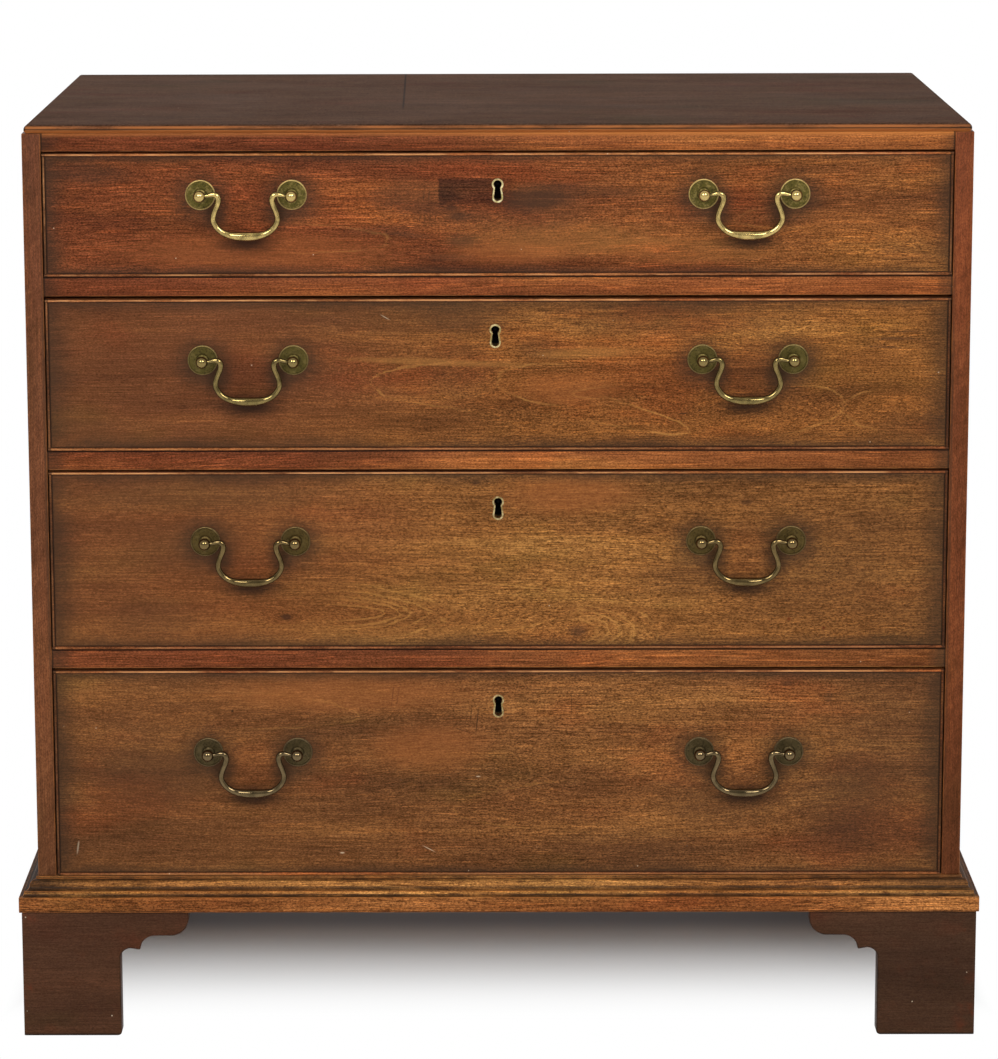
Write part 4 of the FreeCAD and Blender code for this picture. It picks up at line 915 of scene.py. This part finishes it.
def post_brass(name, patina, rubbed, rough, bare, height):
    """Turned brass: the knob is rubbed bright, and the rose keeps a mottled patina inside its rim,
    which is painted bright as a highlight."""
    metal = Finish(name)
    cloudy = metal.noise((230, 230, 230), (5, 2, 1), detail=4, roughness=0.7)
    spots = metal.noise((620, 620, 620), (1, 4, 2), detail=3, roughness=0.6)
    _, post = about_posts(metal)
    inner = metal.blot((0, None, height), (13.6, None, 13.6), soft=0.05, vector=post)
    # The rim's bright colour is a painted highlight.
    rim = metal.band(inner, 1.0, 0.0, 0.0, 0.8)
    knob = metal.band(metal.y, FRONT_PLANE - 7 * MM, FRONT_PLANE - 10 * MM)
    knob_rub = metal.times(knob, metal.scaled(front_rub(metal, KNOB_STAND, 5 * MM), 0.75, 0.2))
    knob_rub_and_rim_highlight = metal.larger(knob_rub, rim)
    share = metal.larger(metal.band(cloudy, 0.44, 0.68, 0.0, 0.3), knob_rub_and_rim_highlight)
    base = metal.mix(share, metal.mix(metal.band(knob, 0, 1, 0, 0.8), patina, TARNISH), rubbed)
    dull = metal.times(metal.band(spots, 0.50, 0.66, 0, 0.85), metal.band(knob, 0, 1, 1, 0.2))
    base = metal.tint(dull, base, 0.46, 0.44, 0.42)
    roughness = metal.band(knob, 0.0, 1.0, 0.46, rough)
    pitted = metal.times(spots, metal.band(knob, 0, 1, 1, 0.1))
    return metal.finish(base, roughness, 0.5, bump=pitted, height=0.05 * MM, metallic=bare)


def lock_brass(name, low, high, patina, rubbed):
    """Keyhole edging bright at the front, painted shade near black inside the keyhole, and the case
    a dull brown brass.
    """
    metal = Finish("brass_" + name)
    cloudy = metal.noise((200, 200, 200), (5, 2, 1), detail=4, roughness=0.65)
    scratched = metal.noise((60, 900, 900), (2, 7, 4), detail=3, roughness=0.6)
    depth = metal.minus(metal.y, FRONT_PLANE)
    front = metal.span(depth, 0.6, 0.1)
    edging = metal.mix(metal.band(cloudy, 0.40, 0.66, 0, 0.9), patina, rubbed)
    case = metal.mix(metal.band(cloudy, 0.34, 0.66), colour(84, 72, 48), colour(126, 108, 68))
    case = metal.shaded(case, scratched, 0.7)
    middle = ((low.x + high.x) / 2, None, high.z - KEYHOLE_DROP)
    hole = metal.blot(middle, (13, None, 18), soft=0.2)
    # Painted shade: the lock's back is near black behind the keyhole.
    inside = metal.times(hole, metal.band(depth, LOCK_BACK, LOCK_BACK - 1 * MM))
    base = metal.mix(inside, case, colour(9, 6, 3))
    base = metal.mix(front, base, edging)
    rough = metal.larger(inside, metal.scaled(cloudy, 0.3, 0.2))
    return metal.finish(base, rough, 0.2, bump=cloudy, height=0.05 * MM, metallic=0.3)


def swan_neck_bail(name, middle, metal, node):
    """A bail swept along its centre line, swelling from the pins to a leaf-shaped grip."""
    sketch = bpy.data.curves.new(name + "_sketch", "CURVE")
    sketch.dimensions = "3D"
    sketch.resolution_u = 5
    sketch.bevel_depth = MM
    sketch.bevel_resolution = 5
    sketch.use_fill_caps = True
    line = sketch.splines.new("BEZIER")
    right = [(-across, drop, thick) for across, drop, thick in reversed(SWAN_NECK[:-1])]
    stations = [*SWAN_NECK, *right]
    line.bezier_points.add(len(stations) - 1)
    line.radius_interpolation = "CARDINAL"
    for point, (across, drop, thick) in zip(line.bezier_points, stations):
        point.co = (middle.x + across * MM, middle.y, middle.z - drop * MM)
        point.radius = thick
        point.handle_left_type = point.handle_right_type = "AUTO"
    swept = placed(name + "_sketch", sketch)
    settled = swept.evaluated_get(bpy.context.evaluated_depsgraph_get())
    mesh = bpy.data.meshes.new_from_object(settled)
    mesh.name = name
    mesh.materials.clear()
    bpy.data.objects.remove(swept)
    bpy.data.curves.remove(sketch)
    for face in mesh.polygons:
        face.use_smooth = True
    mesh.set_sharp_from_angle(angle=math.radians(60))
    new_piece(name, mesh, metal, node)


def handle_fixings(number, metal):
    """Four knobbed posts turned in one with their roses, and the square nuts inside the drawer."""
    knob = []
    for step in range(KNOB_STEPS + 1):
        angle = math.radians(90 - (90 + KNOB_ROUND) * step / KNOB_STEPS)
        knob.append((KNOB_RADIUS * math.cos(angle), KNOB_STAND / MM + KNOB_RADIUS * math.sin(angle)))
    outline = [*knob, *POST_OUTLINE]
    height = HANDLE_HEIGHT[number]
    work = bmesh.new()
    for post_x in [side * HANDLE_X + hand * POST_OFFSET for side in (-1, 1) for hand in (-1, 1)]:
        line = [work.verts.new((post_x + radius * MM, FRONT_PLANE - stand * MM, height))
                for radius, stand in outline]
        edges = [work.edges.new(pair) for pair in zip(line, line[1:])]
        bmesh.ops.spin(work, geom=line + edges, cent=(post_x, 0, height), axis=(0, 1, 0),
                       angle=math.tau, steps=POST_SIDES, use_merge=True)
        place = Matrix.Translation((post_x, FRONT_PLANE + NUT_BEHIND, height))
        nut = bmesh.ops.create_cube(work, size=1, matrix=place @ Matrix.Diagonal((*NUT, 1)))
        rim = list({edge for vert in nut["verts"] for edge in vert.link_edges})
        bmesh.ops.bevel(work, geom=rim, offset=NUT_EDGE, offset_type="OFFSET", affect="EDGES",
                        segments=2, profile=0.5, material=-1)
    bmesh.ops.remove_doubles(work, verts=work.verts, dist=SAME_POINT)
    bmesh.ops.recalc_face_normals(work, faces=work.faces)
    name = f"drawer_{number}_posts_and_roses"
    new_piece(name, mesh_from(work, name), metal, f"drawer_{number}_handle_fixings")


def dress_brass():
    for number in DRAWERS:
        name = f"drawer_{number}"
        rods = rod_brass(f"brass_bail_{number}", *BRASS[number])
        posts = post_brass(f"brass_post_{number}", *BRASS[number], HANDLE_HEIGHT[number])
        handle_fixings(number, posts)
        for word, side in SIDES:
            middle = Vector((side * HANDLE_X, FRONT_PLANE - KNOB_STAND, HANDLE_HEIGHT[number]))
            swan_neck_bail(f"{name}_swan_neck_{word}", middle, rods, f"{name}_bail_{word}")
        lock = lock_brass(name + "_lock", *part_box(name + "_lock"), *EDGING[number])
        softened(name + "_lock", lock, LOCK_EDGE)
        dress(name + "_lock_bolt", lock)


# Studio.

def make_floor():
    floor = bmesh.new()
    bmesh.ops.create_grid(floor, x_segments=1, y_segments=1, size=30)
    piece = placed("studio_floor", mesh_from(floor, "studio_floor"))
    piece.data.materials.append(studio_paper())


def studio_paper():
    """White paper that keeps the chest's shadow, with a painted shadow darkening it deep under the
    chest, and fades to plain white away from it.
    """
    paper = Finish("studio_paper")
    paper.shader.inputs["Specular IOR Level"].default_value = 0.0
    paper.shader.inputs["Roughness"].default_value = 1.0
    low, high = cad_box
    front = paper.minus(paper.y, low.y)
    back = paper.minus(high.y, paper.y)
    side = paper.minus(high.x, paper.unsigned(paper.x))
    # Painted shadow: the paper is darker deep under the chest.
    under = paper.band(front, 0.33, 0.39)
    sheet = paper.mix(under, (0.92, 0.93, 0.94, 1), (0.50, 0.54, 0.60, 1))
    paper.feed(paper.shader.inputs["Base Color"], sheet)
    far = paper.band(front, 0.36, 0.055)
    for inside in (back, side):
        far = paper.larger(far, paper.band(inside, 0.05, -0.03))
    rays = paper.add("LightPath").outputs
    seen = paper.larger(rays["Is Camera Ray"], rays["Is Glossy Ray"])
    plain = paper.add("Emission", {"Color": (1, 1, 1, 1), "Strength": 1.0})
    blend = paper.add("MixShader", {0: paper.times(seen, far)})
    paper.feed(blend.inputs[1], paper.shader.outputs[0])
    paper.feed(blend.inputs[2], plain.outputs[0])
    paper.feed(paper.tree.nodes["Material Output"].inputs["Surface"], blend.outputs[0])
    return paper.material


ROOM_LIGHT = 0.20
LAMP_AIM = Vector((0, 0, 0.45))


def make_world():
    """A plain studio: white behind the chest, soft even light from all round, and a darker room
    in front of the chest for its brass to mirror."""
    world = bpy.data.worlds.new("studio")
    bpy.context.scene.world = world
    world.use_nodes = True
    studio = Nodes(world.node_tree)
    rays = studio.add("LightPath").outputs
    direction = studio.add("TexCoord").outputs["Generated"]
    to_back = studio.add("SeparateXYZ", {"Vector": direction}).outputs["Y"]
    mirrored = studio.times(rays["Is Glossy Ray"], studio.step(to_back, -0.8, 0.3, 0.3, 1.0, "LINEAR"))
    seen = studio.larger(rays["Is Camera Ray"], rays["Is Transmission Ray"])
    background = studio.tree.nodes["Background"]
    background.inputs["Color"].default_value = (1, 1, 1, 1)
    strength = studio.larger(studio.larger(seen, mirrored), ROOM_LIGHT)
    studio.feed(background.inputs["Strength"], strength)


def soft_lamp(name, place, width, depth, power, aim=LAMP_AIM, in_the_brass=True, on_the_wood=True):
    light = bpy.data.lights.new(name, "AREA")
    light.shape = "RECTANGLE"
    light.size = width
    light.size_y = depth
    light.energy = power
    lamp = placed(name, light)
    lamp.visible_glossy = in_the_brass
    lamp.visible_diffuse = on_the_wood
    lamp.location = place
    lamp.rotation_euler = (aim - Vector(place)).to_track_quat("-Z", "Y").to_euler()


def make_camera():
    data = bpy.data.cameras.new("camera")
    data.lens = 133.8
    data.sensor_width = 36
    data.shift_x = 0.0283
    data.shift_y = -0.105
    data.clip_end = 100
    camera = placed("camera", data)
    camera.location = (-0.0111, -4.011, 1.3065)
    camera.rotation_euler = [math.radians(angle) for angle in (79.68, 0.16, 0.23)]
    bpy.context.scene.camera = camera


dress_sides()
dress_rails()
dress_top()
dress_moulding()
dress_feet()
dress_inside()
dress_drawers()
dress_brass()
make_floor()
make_world()
soft_lamp("front panel", (0.2, -4.9, 1.4), 3.4, 2.2, 115, in_the_brass=False)
soft_lamp("key left", (-1.7, -3.5, 2.6), 1.1, 1.0, 24)
soft_lamp("key right", (1.9, -3.4, 3.0), 1.2, 1.0, 36)
for side in (-1, 1):
    soft_lamp(f"glint {side}", (1.3 * side, -3.5, 2.9), 1.2, 1.5, 60, on_the_wood=False)
soft_lamp("rear panel", (-0.4, 2.4, 3.9), 2.4, 1.6, 70, aim=Vector((0, 0, 0.5)))
make_camera()
bpy.context.scene.view_settings.view_transform = "Standard"
